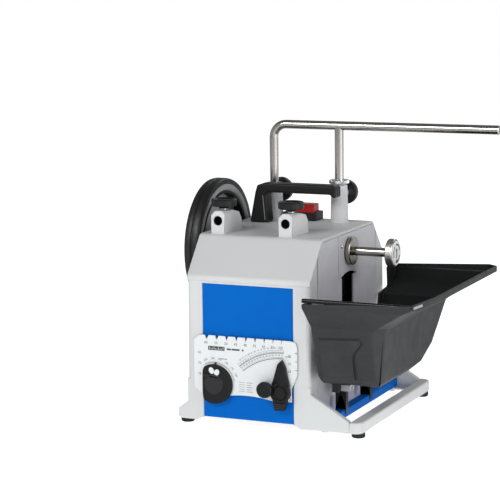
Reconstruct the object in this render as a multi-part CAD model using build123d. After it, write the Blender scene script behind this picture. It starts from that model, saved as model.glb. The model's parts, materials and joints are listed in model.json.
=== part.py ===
from build123d import *
from math import sqrt
import os

# Wet grinding sharpener: a low-speed bench grinder with a water trough, a sliding tool
# support, a honing wheel and an angle gauge that clings to the front.
# Millimetres. +X runs along the arbor to the free end, +Y to the back, +Z up.
# Sizes are worked out from the middle of the housing's front edge on the bench, and every
# part is then shifted so that the origin is under the middle of the whole machine.

# ---------------------------------------------------------------- driving dimensions
# Housing
body_width = 170.0
body_depth = 270.0
body_height = 242.0
ridge_inset = 42.0
knee_drop = 49.0
seam_drop = 54.0
cast_wall = 4.0
sheet = 2.0
frame_bottom = 11.0
frame_sheet = 3.0
frame_face_width = 22.5
frame_side_width = 27.0
rear_side_width = 34.0
seam_gap = 0.2
knee_round = 12.0
ridge_round = 9.0

# Feet and base
foot_radius = 8.7
foot_height = 7.0
foot_inset = 14.0
foot_screw_reach = 9.0
left_foot_reach = 14.0
flare_height = 41.0
flare_thickness = 8.0
rail_reach = 68.0
rail_width = 16.0
rail_height = 14.0
rail_corner = 11.0
strut_offset = 9.0
strut_width = 13.0
strut_height = 11.0

# Arbor, bearings and the wheel that is driven
arbor_radius = 6.0
journal_radius = 6.5
thread_radius = 5.5
thread_relief = 0.5
arbor_drop = 27.0
arbor_reach = 64.0
arbor_chamfer = 0.8
bush_radius = 10.0
bush_length = 20.0
running_gap = 0.04
flange_radius = 18.5
flange_thickness = 5.5
seal_radius = 17.5
seal_thickness = 1.4
seal_gap = 0.3
cover_proud = 1.0
nut_radius = 18.5
nut_thickness = 10.5
nut_face_thickness = 1.0
nut_overlap = 9.0
wheel_radius = 88.0
wheel_width = 20.7
wheel_gap = 5.0
tread_thickness = 8.0
rim_thickness = 9.0
liner_thickness = 3.0
web_thickness = 5.0
hub_radius = 15.0
wheel_nut_radius = 14.0
wheel_nut_thickness = 10.0

# Cover round the arbor and the slot below it
cover_front_reach = 36.0
cover_back_reach = 30.0
cover_drop = 33.0
cover_groove = 1.6
cover_arch = 6.0
cover_screw_front = 28.0
cover_screw_back = 22.0
cover_screw_rise = 9.0
slot_front_reach = 24.0
slot_back_reach = 17.0
slot_drop = 115.0

# Motor
spindle_radius = 4.4
motor_radius = 44.0
stator_length = 60.0
stator_bore = 24.0
shield_length = 12.0
motor_shift = -8.0
rotor_air_gap = 0.6
motor_shaft_radius = 5.0
bearing_radius = 13.0
bearing_width = 8.0
fan_radius = 34.0
fan_length = 9.0
pivot_radius = 4.0
pivot_back = 80.0
pivot_rise = 24.0
hanger_sleeve_gap = 9.1
hanger_switch_gap = 12.0
hanger_sheet = 4.0
hanger_flange = 14.0
capacitor_radius = 17.0
capacitor_length = 70.0

# Tool support
leg_spacing = 94.2
leg_back = 70.0
bar_radius = 6.0
sleeve_clearance = 0.05
sleeve_base_radius = 12.0
sleeve_top_radius = 10.8
sleeve_height = 50.0
bar_rise = 129.0
bar_reach = 176.5
bar_cap_length = 6.5
bar_bend = 18.0
leg_depth = 150.0
adjust_radius = 13.5
adjust_thickness = 7.0

# Front sleeves and the four clamp knobs
front_sleeve_shift = -13.4
block_width = 19.0
block_length = 54.0
block_height = 30.0
block_front = 46.0
bore_rise = 17.0
knob_radius = 16.6
knob_thickness = 9.5
knob_neck_radius = 7.0
stud_radius = 3.0
knob_setback = 20.0
rear_knob_rise = 38.0

# Carrying handle and switch
handle_left = 66.0
handle_right = 57.5
handle_front = 159.0
handle_depth = 21.0
handle_rise = 53.5
grip_thickness = 12.5
handle_leg_foot = 26.0
handle_leg_top = 15.0
switch_offset = 14.1
switch_width = 47.5
switch_front = 194.5
switch_depth = 31.0
switch_height = 11.0
rocker_inset = 12.0
rocker_width = 31.0
rocker_depth = 18.0
rocker_rise = 22.0
switch_gap = 1.6

# Water trough
trough_gap = 2.5
trough_width = 152.0
trough_front = -33.0
trough_back = 302.0
rim_height = 173.0
rim_lift = 7.0
trough_bottom = 67.0
trough_wall = 3.0
trough_body_width = 92.0
body_bend = 139.0
rim_taper = 8.5
rim_taper_length = 73.0
rim_corner = 14.0
body_corner_width = 12.0
body_corner_length = 20.0
arm_reach = 30.0
arm_height = 8.0
arm_top = 53.0
arm_front = 62.0
arm_width = 14.0
arm_pitch = 88.0

# Angle gauge
gauge_sheet = 2.0
gauge_gap = 1.0
gauge_left = -73.5
gauge_right = 69.0
gauge_low = 39.0
gauge_high = 119.0
notch_count = 9
notch_start = 17.8
notch_pitch = 14.4
notch_closing = 0.175
notch_depth = 5.5
dial_radius = 25.8
dial_flat = 16.0
dial_x = -45.0
dial_z = 56.5
dial_thickness = 4.0
pointer_x = 48.0
pointer_z = 53.2
pointer_length = 42.0
pointer_radius = 13.0
pointer_thickness = 8.0
gauge_knob_shift = 19.0
gauge_knob_rise = 3.5
gauge_knob_radius = 10.4
gauge_stem_radius = 3.0
rivet_radius = 1.5

# ---------------------------------------------------------------- derived places
half_width = body_width / 2
mid_y = body_depth / 2
knee_z = body_height - knee_drop
seam_z = body_height - seam_drop
arbor_z = body_height - arbor_drop
arbor_end = half_width + arbor_reach
seat_end = arbor_end - nut_overlap - thread_relief
wheel_right = -half_width - wheel_gap
wheel_left = wheel_right - wheel_width
seal_face = half_width + cover_proud
flange_back = seal_face + seal_thickness + seal_gap
flange_face = flange_back + flange_thickness
arbor_start = wheel_left - wheel_nut_thickness - 1.3
liner_outer = wheel_radius - tread_thickness - rim_thickness
liner_inner = liner_outer - liner_thickness
web_left = wheel_left + 3.0
web_right = web_left + web_thickness
motor_z = arbor_z - liner_inner + spindle_radius + running_gap
stator_left = motor_shift - stator_length / 2
stator_right = motor_shift + stator_length / 2
shield_left = stator_left - shield_length
shield_right = stator_right + shield_length
fan_left = shield_right + 3.0
pivot_y = mid_y + pivot_back
pivot_z = motor_z + pivot_rise
leg_x = leg_spacing / 2
sleeve_bore = bar_radius + sleeve_clearance
switch_left = leg_x - switch_offset
switch_right = switch_width - switch_left
rocker_left = switch_left - rocker_inset
rocker_right = rocker_width - rocker_left
hanger_left = hanger_sleeve_gap - leg_x
hanger_right = rocker_right + hanger_switch_gap
leg_y = mid_y + leg_back - 5.0
sleeve_top = body_height + sleeve_height
bar_z = body_height + bar_rise
bar_end = half_width + bar_reach + bar_cap_length
front_sleeve_x = [front_sleeve_shift - leg_x, front_sleeve_shift + leg_x]
bore_z = body_height + bore_rise
block_top = body_height + block_height
front_knob_y = block_front + knob_setback
rear_knob_z = body_height + rear_knob_rise
handle_top = body_height + handle_rise
trough_left = half_width + trough_gap
trough_right = trough_left + trough_width
rail_outer = half_width + rail_reach
rail_inner = rail_outer - rail_width
rail_top = foot_height + rail_height
frame_foot = foot_height - 0.5
strut_left = half_width + strut_offset
panel_bottom = frame_bottom + 0.6
panel_top = seam_z - 3.0
panel_half = half_width - frame_face_width - seam_gap
gauge_back = -gauge_gap
gauge_front = gauge_back - gauge_sheet
overall_front = trough_front
foot_screw_top = foot_height + foot_screw_reach
cover_front = mid_y - cover_front_reach
cover_back = mid_y + cover_back_reach
cover_low = arbor_z - cover_drop
cover_screw_y = [mid_y - cover_screw_front, mid_y + cover_screw_back]
cover_screw_z = arbor_z + cover_screw_rise
slot_front = mid_y - slot_front_reach
slot_back = mid_y + slot_back_reach
gauge_knob_x = pointer_x - gauge_knob_shift
gauge_knob_z = pointer_z + gauge_knob_rise
dowel_z = handle_top - grip_thickness / 2 - 1
rail_foot_x = rail_outer - rail_width / 2 - 0.7
centre_x = (arbor_start + bar_end) / 2
centre_y = (overall_front + trough_back) / 2


# ---------------------------------------------------------------- helpers
def block(x0, x1, y0, y1, z0, z1):
    """A box between two corners."""
    middle = Pos((x0 + x1) / 2, (y0 + y1) / 2, (z0 + z1) / 2)
    return middle * Box(x1 - x0, y1 - y0, z1 - z0)


def rod_x(y, z, radius, x0, x1):
    """A round bar along X."""
    return Pos((x0 + x1) / 2, y, z) * Rot(0, 90, 0) * Cylinder(radius, x1 - x0)


def rod_y(x, z, radius, y0, y1):
    """A round bar along Y."""
    return Pos(x, (y0 + y1) / 2, z) * Rot(90, 0, 0) * Cylinder(radius, y1 - y0)


def rod_z(x, y, radius, z0, z1):
    """A round bar along Z."""
    return Pos(x, y, (z0 + z1) / 2) * Cylinder(radius, z1 - z0)


def side_plate(points, x0, x1):
    """An outline given as (y, z) points, as thick as x0 to x1."""
    outline = make_face(Polyline(*points, close=True))
    return Plane.YZ.offset(x0) * extrude(outline, x1 - x0)


def front_plate(points, y0, y1):
    """An outline given as (x, z) points, as thick as y0 to y1."""
    outline = make_face(Polyline(*points, close=True))
    plane = Plane(origin=(0, y1, 0), x_dir=(1, 0, 0), z_dir=(0, -1, 0))
    return plane * extrude(outline, y1 - y0)


def mirrored(part):
    """The same part on the other side of the housing's middle plane, front to back."""
    return mirror(part, about=Plane(origin=(0, mid_y, 0), x_dir=(1, 0, 0), z_dir=(0, 1, 0)))


def hood_points(inset):
    """The hood's side outline, moved in by inset, and open below the seam."""
    slope = (body_height - knee_z) / ridge_inset
    shift = inset * (sqrt(1 + slope * slope) - 1) / slope
    front = [(inset, seam_z - 60), (inset, knee_z - inset * 0.4), (ridge_inset + shift, body_height - inset)]
    back = [(body_depth - y, z) for y, z in reversed(front)]
    return front + back


def hood_solid(inset, x0, x1, low):
    """The hood's outline with rounded knees and ridges, cut off at low."""
    outline = make_face(Polyline(*hood_points(inset), close=True))
    corners = outline.vertices().filter_by(lambda v: v.Y > knee_z - 20)
    knees = corners.filter_by(lambda v: v.Y < body_height - 20)
    outline = fillet(knees, knee_round - inset)
    ridges = outline.vertices().filter_by(lambda v: v.Y > body_height - inset - 1)
    ridges = ridges.filter_by(lambda v: abs(v.X - mid_y) > mid_y - ridge_inset - 12)
    outline = fillet(ridges, ridge_round - inset)
    solid = Plane.YZ.offset(x0) * extrude(outline, x1 - x0)
    return solid & block(x0 - 1, x1 + 1, -10, body_depth + 10, low, body_height + 10)


# ---------------------------------------------------------------- housing
def sleeve_block(x):
    """One front sleeve: a block on the top with a bore from front to back."""
    half = block_width / 2
    back = block_front + block_length
    low = body_height - 1
    side = [(block_front, low), (block_front, block_top), (block_front + 30, block_top - 2)]
    side += [(back - 8, block_top - 6), (back, block_top - 16), (back, low)]
    face = [(x - half, low), (x - half, block_top - 6), (x - half + 6, block_top + 0.1)]
    face += [(x + half - 4, block_top + 0.1), (x + half, block_top - 4), (x + half, low)]
    return side_plate(side, x - half, x + half) & front_plate(face, block_front, back)


def sleeve_cuts(x):
    """The bore of a front sleeve and the hole for its clamp screw."""
    bore = rod_y(x, bore_z, sleeve_bore, block_front - 1, block_front + block_length + 1)
    screw = rod_z(x, front_knob_y, stud_radius + running_gap, bore_z, block_top + 1)
    return bore + screw


def upright_sleeve(x):
    """One upright sleeve with the boss for its clamp screw behind it."""
    cone = Pos(x, leg_y, body_height + sleeve_height / 2)
    tube = cone * Cone(sleeve_base_radius, sleeve_top_radius, sleeve_height)
    skirt = rod_z(x, leg_y, sleeve_base_radius, body_height - cast_wall - 12, body_height)
    boss = rod_y(x, rear_knob_z, knob_neck_radius, leg_y, leg_y + 16)
    return tube + skirt + boss


def upright_cuts(x):
    """The bore of an upright sleeve and the hole for its clamp screw."""
    bore = rod_z(x, leg_y, sleeve_bore, body_height - 30, sleeve_top + 1)
    screw = rod_y(x, rear_knob_z, stud_radius + running_gap, leg_y, leg_y + 17)
    return bore + screw


def bearing_lug(x0, x1):
    """A hanging lug that carries one arbor bush."""
    reach = bush_radius + 7
    lug = block(x0, x1, mid_y - reach, mid_y + reach, arbor_z, body_height - cast_wall + 1)
    lug += rod_x(mid_y, arbor_z, reach, x0, x1)
    return lug - rod_x(mid_y, arbor_z, bush_radius, x0 - 1, x1 + 1)


def bush_span(side):
    """Where a bush lies along X: side is 1 at the trough and -1 at the honing wheel."""
    inner = half_width - 5.0 - bush_length
    ends = [side * inner, side * (inner + bush_length)]
    return min(ends), max(ends)


def make_top_casting():
    """The cast hood with its four sleeves, cheeks and bearing lugs."""
    hood = hood_solid(0, -half_width, half_width, seam_z + seam_gap)
    inside = hood_solid(cast_wall, -half_width + cast_wall, half_width - cast_wall, seam_z - 50)
    hood -= inside
    for side in (-1, 1):
        window = hood_solid(cast_wall, 0, cast_wall + 2, seam_z - 50)
        window &= block(-1, cast_wall + 3, frame_side_width, body_depth - rear_side_width, 0, body_height)
        shift = half_width - cast_wall - 1 if side > 0 else -half_width - 1
        hood -= Pos(shift, 0, 0) * window
        x0, x1 = bush_span(side)
        hood += bearing_lug(x0, x1)
        hood += upright_sleeve(side * leg_x)
    for x in front_sleeve_x:
        hood += sleeve_block(x)
    lug_low = handle_top - grip_thickness - 3
    hood += block(leg_x - 6, leg_x + 6, handle_front + handle_depth, leg_y, lug_low, sleeve_top - 1)
    for x in front_sleeve_x:
        hood -= sleeve_cuts(x)
    for side in (-1, 1):
        hood -= upright_cuts(side * leg_x)
    hood -= rod_y(leg_x, dowel_z, 2.5, handle_front, handle_front + handle_depth + 6)
    for x in handle_screw_x():
        hood -= rod_z(x, handle_front + handle_depth / 2, 2.5, body_height - 12, body_height + 1)
    hood -= contact_block(0.2)
    hood -= hanger_screw_holes()
    return hood


def flare_points():
    """The right foot's outline, from the housing's corner out to the rail."""
    knee = foot_height + flare_height
    points = [(half_width - frame_face_width, frame_bottom), (half_width - 13, frame_foot)]
    points += [(rail_inner, frame_foot), (rail_inner, rail_top)]
    points += [(half_width + 29, foot_height + 28), (half_width + 12, knee - 3), (half_width, knee + 4)]
    return points


def left_foot_points():
    """The left foot's outline: a short toe beside the housing."""
    toe = -half_width - left_foot_reach
    points = [(-half_width + frame_face_width, frame_bottom), (-half_width + 13, frame_foot)]
    points += [(toe + 3, frame_foot), (toe, frame_foot + 3), (toe, foot_height + 13)]
    points.append((-half_width, foot_height + 23))
    return points


def make_front_frame():
    """The front legs, feet and crossbar of the housing in one casting."""
    inner = half_width - frame_face_width
    high = seam_z
    right = [(inner, frame_bottom)] + flare_points()[1:] + [(half_width, high), (inner, high)]
    left = [(-inner, frame_bottom)] + left_foot_points()[1:] + [(-half_width, high), (-inner, high)]
    frame = front_plate(right, 0, frame_sheet)
    frame += front_plate(left, 0, frame_sheet)
    flare = [(half_width - 0.1, frame_bottom)] + flare_points()[1:]
    frame += front_plate(flare, 0, flare_thickness)
    frame += block(-inner, inner, 0, frame_sheet, panel_top + seam_gap, high)
    for side in (-1, 1):
        edges = sorted([side * half_width, side * (half_width - frame_sheet)])
        frame += block(edges[0], edges[1], 0, frame_side_width - seam_gap, frame_bottom, high)
        lips = sorted([side * half_width, side * (inner - 5)])
        frame += block(lips[0], lips[1], frame_sheet, 2 * frame_sheet, frame_bottom, high)
    toe = -half_width - left_foot_reach
    foot_back = 2 * foot_inset
    heel = [(-half_width, frame_foot)] + left_foot_points()[2:]
    frame += front_plate(heel, 0, foot_back)
    frame += block(half_width - 1, rail_inner, 0, 20, frame_foot, frame_foot + 3)
    frame = round_upright(frame, -half_width, half_width)
    hole_x = toe + 7
    frame -= rod_z(hole_x, foot_inset, 2, 0, foot_screw_top + 0.5)
    frame -= rod_z(strut_left + strut_width / 2, 12, 2, 0, 20)
    return frame


def round_upright(frame, left, right):
    """Rounds the housing's two upright front corners above the feet."""
    high = foot_height + flare_height + 12
    radius = 6.0
    for x, inward in ((left, 1), (right, -1)):
        centre = x + inward * radius
        corner = block(min(x, centre), max(x, centre), 0, radius, high, seam_z + 1)
        frame -= corner - rod_z(centre, radius, radius, high - 1, seam_z + 2)
    return frame


def make_base_rail():
    """The rail that ties the right feet together, with rounded ends."""
    rail = block(rail_inner, rail_outer, 0, body_depth, frame_foot, rail_top)
    corners = rail.edges().filter_by(Axis.Z).group_by(Axis.X)[-1]
    rail = fillet(corners, rail_corner)
    rail = fillet(rail.faces().sort_by(Axis.Z)[-1].edges(), 2.5)
    for y in (foot_inset, body_depth - foot_inset):
        rail -= rod_z(rail_foot_x, y, 2, 0, foot_screw_top + 0.5)
    return rail


def make_base_strut():
    """The channel between the housing and the rail that the trough's forks clip on."""
    low = frame_foot + 3
    high = low + strut_height
    ends = (flare_thickness, body_depth - flare_thickness)
    strut = block(strut_left, strut_left + strut_width, ends[0], ends[1], low, high)
    strut -= block(strut_left + sheet, strut_left + strut_width - sheet, 25, body_depth - 25,
                   low - 1, high - sheet)
    for y in (12, body_depth - 12):
        strut -= rod_z(strut_left + strut_width / 2, y, 2, 0, low + 7)
    return strut


def make_base_screws():
    """The screws that hold the strut to the frames."""
    screws = []
    for y in (12, body_depth - 12):
        head = rod_z(strut_left + strut_width / 2, y, 4.5, frame_foot - 3, frame_foot)
        shank = rod_z(strut_left + strut_width / 2, y, 2, frame_foot - 0.5, frame_foot + 9)
        screws.append(head + shank)
    return screws


def foot_places():
    """Where the four feet stand: x and y."""
    left = -half_width - left_foot_reach + 7
    back = body_depth - foot_inset
    right = rail_foot_x
    return [(left, foot_inset), (right, foot_inset), (left, back), (right, back)]


def make_foot(x, y):
    """A rubber foot with a recess for its screw."""
    foot = rod_z(x, y, foot_radius, 0, frame_foot)
    foot = chamfer(foot.edges().sort_by(Axis.Z)[0], 1.2)
    foot -= rod_z(x, y, 4, -1, 3)
    return foot - rod_z(x, y, 2, 0, foot_height)


def make_foot_screws():
    """The four screws through the feet."""
    screws = []
    for x, y in foot_places():
        screws.append(rod_z(x, y, 3.8, 1, 3) + rod_z(x, y, 2, 2.5, foot_screw_top))
    return screws


def make_side_panel(side):
    """A side wall with its cut-outs for the arbor, bearing cover and drive."""
    panel = hood_solid(cast_wall + seam_gap, half_width - sheet, half_width, frame_bottom)
    low = [(frame_side_width, frame_bottom), (frame_side_width, knee_z)]
    high = [(body_depth - rear_side_width, knee_z), (body_depth - rear_side_width, frame_bottom)]
    panel += side_plate(low + high, half_width - sheet, half_width)
    keep = block(0, half_width + 1, frame_side_width, body_depth - rear_side_width, 0, body_height)
    panel = panel & keep
    if side > 0:
        panel -= block(0, half_width + 1, cover_front - seam_gap, cover_back + cover_groove,
                       cover_low - seam_gap, body_height)
        panel -= block(0, half_width + 1, slot_front, slot_back, arbor_z - slot_drop, cover_low)
        for y in arm_places():
            for z in arm_screw_z():
                panel -= rod_x(y + arm_width / 2, z, 2, 0, half_width + 1)
        return panel
    slot = block(0, half_width + 1, mid_y - 17, mid_y + 17, motor_z - 14, arbor_z)
    slot += rod_x(mid_y, arbor_z, 17, 0, half_width + 1)
    slot += rod_x(mid_y, motor_z - 14, 17, 0, half_width + 1)
    return mirror(panel - slot, about=Plane.YZ)


def make_bearing_cover():
    """The cover round the arbor, with an arched lower edge."""
    high = body_height - cast_wall - seam_gap
    cover = block(half_width - sheet - 1, half_width + 1, cover_front, cover_back, cover_low, high)
    cover -= Plane.YZ.offset(half_width - 10) * extrude(arch_face(), 20)
    cover -= rod_x(mid_y, arbor_z, journal_radius + 0.6, half_width - 10, half_width + 10)
    for y in cover_screw_y:
        cover -= rod_x(y, cover_screw_z, 1.5, half_width - 10, half_width + 10)
    return cover


def arch_face():
    """The arched notch in the cover's lower edge."""
    left = (cover_front + 4, cover_low)
    right = (cover_back - 2, cover_low)
    curve = ThreePointArc(left, ((left[0] + right[0]) / 2, cover_low + cover_arch), right)
    below = Polyline(right, (right[0], cover_low - 5), (left[0], cover_low - 5), left)
    return make_face([curve, below])


def make_cover_screws():
    """Two round-headed screws in the cover."""
    screws = []
    for y in cover_screw_y:
        head = Pos(half_width + 1, y, cover_screw_z) * Sphere(2.6)
        head &= block(half_width + 1, half_width + 5, y - 5, y + 5, cover_screw_z - 5, cover_screw_z + 5)
        screws.append(head + rod_x(y, cover_screw_z, 1.5, half_width - 8, half_width + 1))
    return screws


def make_front_panel():
    """The plain front panel between the legs."""
    return block(-panel_half, panel_half, frame_sheet - sheet, frame_sheet, panel_bottom, panel_top)


def gland_place():
    """Where the mains cord enters the rear panel."""
    return -panel_half + 28, frame_bottom + 34


def make_rear_panel():
    """The rear panel with cooling slots and the cord's hole."""
    panel = mirrored(make_front_panel())
    for row in range(6):
        z = motor_z - 45 + 12 * row
        slot = block(-22, 22, body_depth - 10, body_depth + 1, z - 2, z + 2)
        slot += rod_y(-22, z, 2, body_depth - 10, body_depth + 1)
        slot += rod_y(22, z, 2, body_depth - 10, body_depth + 1)
        panel -= slot
    x, z = gland_place()
    return panel - rod_y(x, z, 8, body_depth - 10, body_depth + 1)


def make_cord_gland():
    """The bushing that the mains cord would pass through."""
    x, z = gland_place()
    outer = body_depth - frame_sheet + sheet
    inner = body_depth - frame_sheet
    gland = rod_y(x, z, 11, outer, outer + 4)
    gland += rod_y(x, z, 8, inner - 6, outer)
    gland += rod_y(x, z, 10.5, inner - 5, inner)
    nose = Pos(x, outer + 10, z) * Rot(-90, 0, 0) * Cone(8.5, 6.5, 12)
    return gland + nose - rod_y(x, z, 4, inner - 10, outer + 20)


def make_base_plate():
    """The sheet that closes the housing below, with cooling slots."""
    inset = 2 * frame_sheet + 0.2
    wide = half_width - frame_sheet - 0.2
    plate = block(-wide, wide, inset, body_depth - inset, frame_bottom, frame_bottom + sheet)
    for row in range(5):
        x = -50 + 25 * row
        plate -= block(x - 3, x + 3, mid_y - 40, mid_y + 30, 0, frame_bottom + 5)
    return plate


# ---------------------------------------------------------------- handle and switch
def handle_screw_x():
    """The two screws up into the handle's leg."""
    return [-handle_left + 8, -handle_left + handle_leg_foot - 8]


def make_handle():
    """The carrying handle: one leg on the hood and one end on a sleeve."""
    low = handle_top - grip_thickness
    foot = -handle_left + handle_leg_foot
    top_left = -handle_left + 8
    points = [(-handle_left, body_height), (top_left, low), (top_left + 3, handle_top - 3)]
    points.append((top_left + 12, handle_top))
    points += [(handle_right - 3, handle_top), (handle_right, handle_top - 3), (handle_right, low - 4)]
    points += [(handle_right - 5, low - 4), (handle_right - 8, low)]
    points += [(top_left + handle_leg_top + 3, low), (top_left + handle_leg_top, low - 4)]
    points.append((foot, body_height))
    handle = front_plate(points, handle_front, handle_front + handle_depth)
    handle -= rod_y(leg_x, dowel_z, 2.5, handle_front + 12, handle_front + handle_depth + 1)
    for x in handle_screw_x():
        handle -= rod_z(x, handle_front + handle_depth / 2, 2.5, body_height - 1, body_height + 15)
    return handle


def make_handle_screws():
    """Two screws from under the hood into the handle's leg."""
    screws = []
    y = handle_front + handle_depth / 2
    under = body_height - cast_wall
    for x in handle_screw_x():
        screws.append(rod_z(x, y, 2.5, under, body_height + 14) + rod_z(x, y, 4.5, under - 4, under))
    return screws


def make_handle_dowel():
    """The dowel that locks the handle's free end to the sleeve."""
    return rod_y(leg_x, dowel_z, 2.5, handle_front + 12.5, handle_front + handle_depth + 5.5)


def rocker_centre():
    """The rocker's hinge line: y and z."""
    return switch_front + switch_depth / 2, body_height + 7


def make_switch_housing():
    """The box on the hood that the rocker sits in."""
    y0 = switch_front
    y1 = switch_front + switch_depth
    box = block(-switch_left, switch_right, y0, y1, body_height, body_height + switch_height)
    box = chamfer(box.edges().filter_by(Axis.Z), 2.0)
    y, z = rocker_centre()
    half = rocker_depth / 2 + switch_gap
    well = block(-rocker_left - switch_gap, rocker_right + switch_gap, y - half, y + half,
                 body_height + 1.5, body_height + 30)
    box -= well
    return box - rod_x(y, z, 1.2, -rocker_left - switch_gap - 3, rocker_right + switch_gap + 2)


def make_switch_rocker():
    """The tilting key of the switch."""
    y, z = rocker_centre()
    half = rocker_depth / 2
    top = body_height + rocker_rise
    points = [(y - half, z - 2), (y - half, top - 1), (y - half + 1, top), (y, top - 0.8)]
    points += [(y + half - 1, top), (y + half, top - 1), (y + half, z - 2), (y + 5, z - 4), (y - 5, z - 4)]
    rocker = side_plate(points, -rocker_left, rocker_right)
    return rocker - rod_x(y, z, 1.2 + running_gap, -rocker_left - 1, rocker_right + 1)


def make_switch_pin():
    """The pin that the rocker tilts on."""
    y, z = rocker_centre()
    return rod_x(y, z, 1.2, -rocker_left - switch_gap - 3, rocker_right + switch_gap + 2)


def contact_block(gap):
    """The switch's contact block, which hangs through the hood."""
    y0 = switch_front + 4 - gap
    y1 = switch_front + switch_depth - 4 + gap
    return block(-rocker_left + 3 - gap, rocker_right - 3 + gap, y0, y1, body_height - 24, body_height)


# ---------------------------------------------------------------- clamp knobs
def make_knob():
    """A clamp knob standing on its screw, axis up, with its underside at zero."""
    knob = rod_z(0, 0, knob_radius, 0, knob_thickness)
    knob = fillet(knob.edges(), 1.2)
    knob += rod_z(0, 0, knob_neck_radius - 1, -3, 0.5)
    knob -= rod_z(0, 0, knob_radius - 5, knob_thickness - 1.0, knob_thickness + 1)
    return knob - rod_z(0, 0, stud_radius, -4, knob_thickness - 3)


def make_stud(length):
    """The clamp knob's screw, which reaches down from the knob."""
    stud = rod_z(0, 0, stud_radius, -length, knob_thickness - 3)
    return chamfer(stud.edges().sort_by(Axis.Z)[0], 0.8)


def front_knob_place(x):
    """Where a front clamp knob sits: upright over its sleeve."""
    return Pos(x, front_knob_y, block_top + 4.2)


def rear_knob_place(x):
    """Where a rear clamp knob sits: lying behind its sleeve."""
    return Pos(x, leg_y + 16 + 3.2, rear_knob_z) * Rot(-90, 0, 0)


def front_stud_length():
    """From the knob down to just above the bore."""
    return block_top + 4.2 - (bore_z + sleeve_bore + 0.3)


def rear_stud_length():
    """From the knob in to just short of the bore."""
    return 16 + 3.2 - sleeve_bore - 0.3


# ---------------------------------------------------------------- tool support
def make_support_bar():
    """The two legs and the crossbar of the tool support."""
    low = body_height - leg_depth + sleeve_height
    corners = [(-leg_x, leg_y, low), (-leg_x, leg_y, bar_z), (bar_end - bar_cap_length, leg_y, bar_z)]
    path = FilletPolyline(*corners, radius=bar_bend)
    section = Plane(origin=(-leg_x, leg_y, low), z_dir=(0, 0, 1)) * Circle(bar_radius)
    bar = sweep(section, path=path)
    return bar + rod_z(leg_x, leg_y, bar_radius, low, bar_z)


def make_support_cap():
    """The turned end of the crossbar."""
    cap = rod_x(leg_y, bar_z, bar_radius, bar_end - bar_cap_length, bar_end)
    return chamfer(cap.edges().sort_by(Axis.X)[-1], 1.0)


def make_adjust_nut():
    """The fine adjustment nut on the right leg, resting on its sleeve."""
    low = sleeve_top + 0.1
    nut = rod_z(leg_x, leg_y, adjust_radius, low, low + adjust_thickness)
    nut = chamfer(nut.edges(), 0.8)
    return nut - rod_z(leg_x, leg_y, bar_radius + running_gap, low - 1, low + adjust_thickness + 1)


# ---------------------------------------------------------------- arbor
def make_main_shaft():
    """The stainless arbor through both bushes."""
    shaft = rod_x(mid_y, arbor_z, journal_radius, arbor_start, flange_face)
    shaft = chamfer(shaft.edges().group_by(Axis.X)[0], arbor_chamfer)
    seat = rod_x(mid_y, arbor_z, arbor_radius, flange_face - 1, seat_end)
    thread = rod_x(mid_y, arbor_z, thread_radius, seat_end - 1, arbor_end)
    return shaft + seat + chamfer(thread.edges().group_by(Axis.X)[-1], arbor_chamfer)


def make_bush(side):
    """A plain bearing bush in its lug."""
    x0, x1 = bush_span(side)
    return ring_x(bush_radius, journal_radius + running_gap, x0, x1)


def make_arbor_seal():
    """The rubber ring between the flange and the cover."""
    return ring_x(seal_radius, journal_radius + 0.4, seal_face, seal_face + seal_thickness)


def make_flange_washer():
    """The fixed flange that a stone bears on."""
    flange = rod_x(mid_y, arbor_z, flange_radius, flange_back, flange_face)
    flange = chamfer(flange.edges().group_by(Axis.X)[-1], 1.2)
    return flange - rod_x(mid_y, arbor_z, journal_radius, flange_back - 1, flange_face + 1)


def make_quick_nut():
    """The round nut on the arbor's free end."""
    x0 = arbor_end - nut_overlap
    nut = rod_x(mid_y, arbor_z, nut_radius, x0, x0 + nut_thickness)
    nut = chamfer(nut.edges(), 1.0)
    return nut - rod_x(mid_y, arbor_z, thread_radius + running_gap, x0 - 1, arbor_end + 0.5)


def make_nut_face():
    """The printed disc on the nut's outer face."""
    x0 = arbor_end - nut_overlap + nut_thickness
    return rod_x(mid_y, arbor_z, nut_radius - 2.5, x0, x0 + nut_face_thickness)


def ring_x(outer, inner, x0, x1):
    """A ring about the arbor."""
    return rod_x(mid_y, arbor_z, outer, x0, x1) - rod_x(mid_y, arbor_z, inner, x0 - 1, x1 + 1)


def make_wheel_body():
    """The honing wheel's rim, web and hub; the web leaves a recess on the housing's side."""
    rim = ring_x(wheel_radius - tread_thickness, liner_outer, wheel_left + 0.5, wheel_right - 0.3)
    web = ring_x(liner_outer + 0.5, journal_radius, web_left, web_right)
    hub = ring_x(hub_radius, journal_radius, wheel_left, wheel_right)
    return rim + web + hub


def make_honing_tyre():
    """The honing wheel's tread, with a groove round its middle."""
    tyre = ring_x(wheel_radius, wheel_radius - tread_thickness, wheel_left, wheel_right)
    middle = (wheel_left + wheel_right) / 2
    return tyre - ring_x(wheel_radius + 1, wheel_radius - 0.8, middle - 0.7, middle + 0.7)


def make_friction_liner():
    """The rubber ring inside the rim that the motor's spindle turns."""
    return ring_x(liner_outer, liner_inner, web_right, wheel_right - 1.3)


def make_wheel_nut():
    """The nut that holds the honing wheel on the arbor."""
    x1 = wheel_left
    nut = rod_x(mid_y, arbor_z, wheel_nut_radius, x1 - wheel_nut_thickness, x1)
    nut = chamfer(nut.edges().group_by(Axis.X)[0], 1.5)
    return nut - rod_x(mid_y, arbor_z, journal_radius, x1 - wheel_nut_thickness - 1, x1 + 1)


# ---------------------------------------------------------------- motor
def motor_rod(radius, x0, x1):
    """A round bar on the motor's axis."""
    return rod_x(mid_y, motor_z, radius, x0, x1)


def make_stator():
    """The laminated core with its windings' ends."""
    core = motor_rod(motor_radius, stator_left, stator_right)
    return core - motor_rod(stator_bore, stator_left - 1, stator_right + 1)


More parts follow.
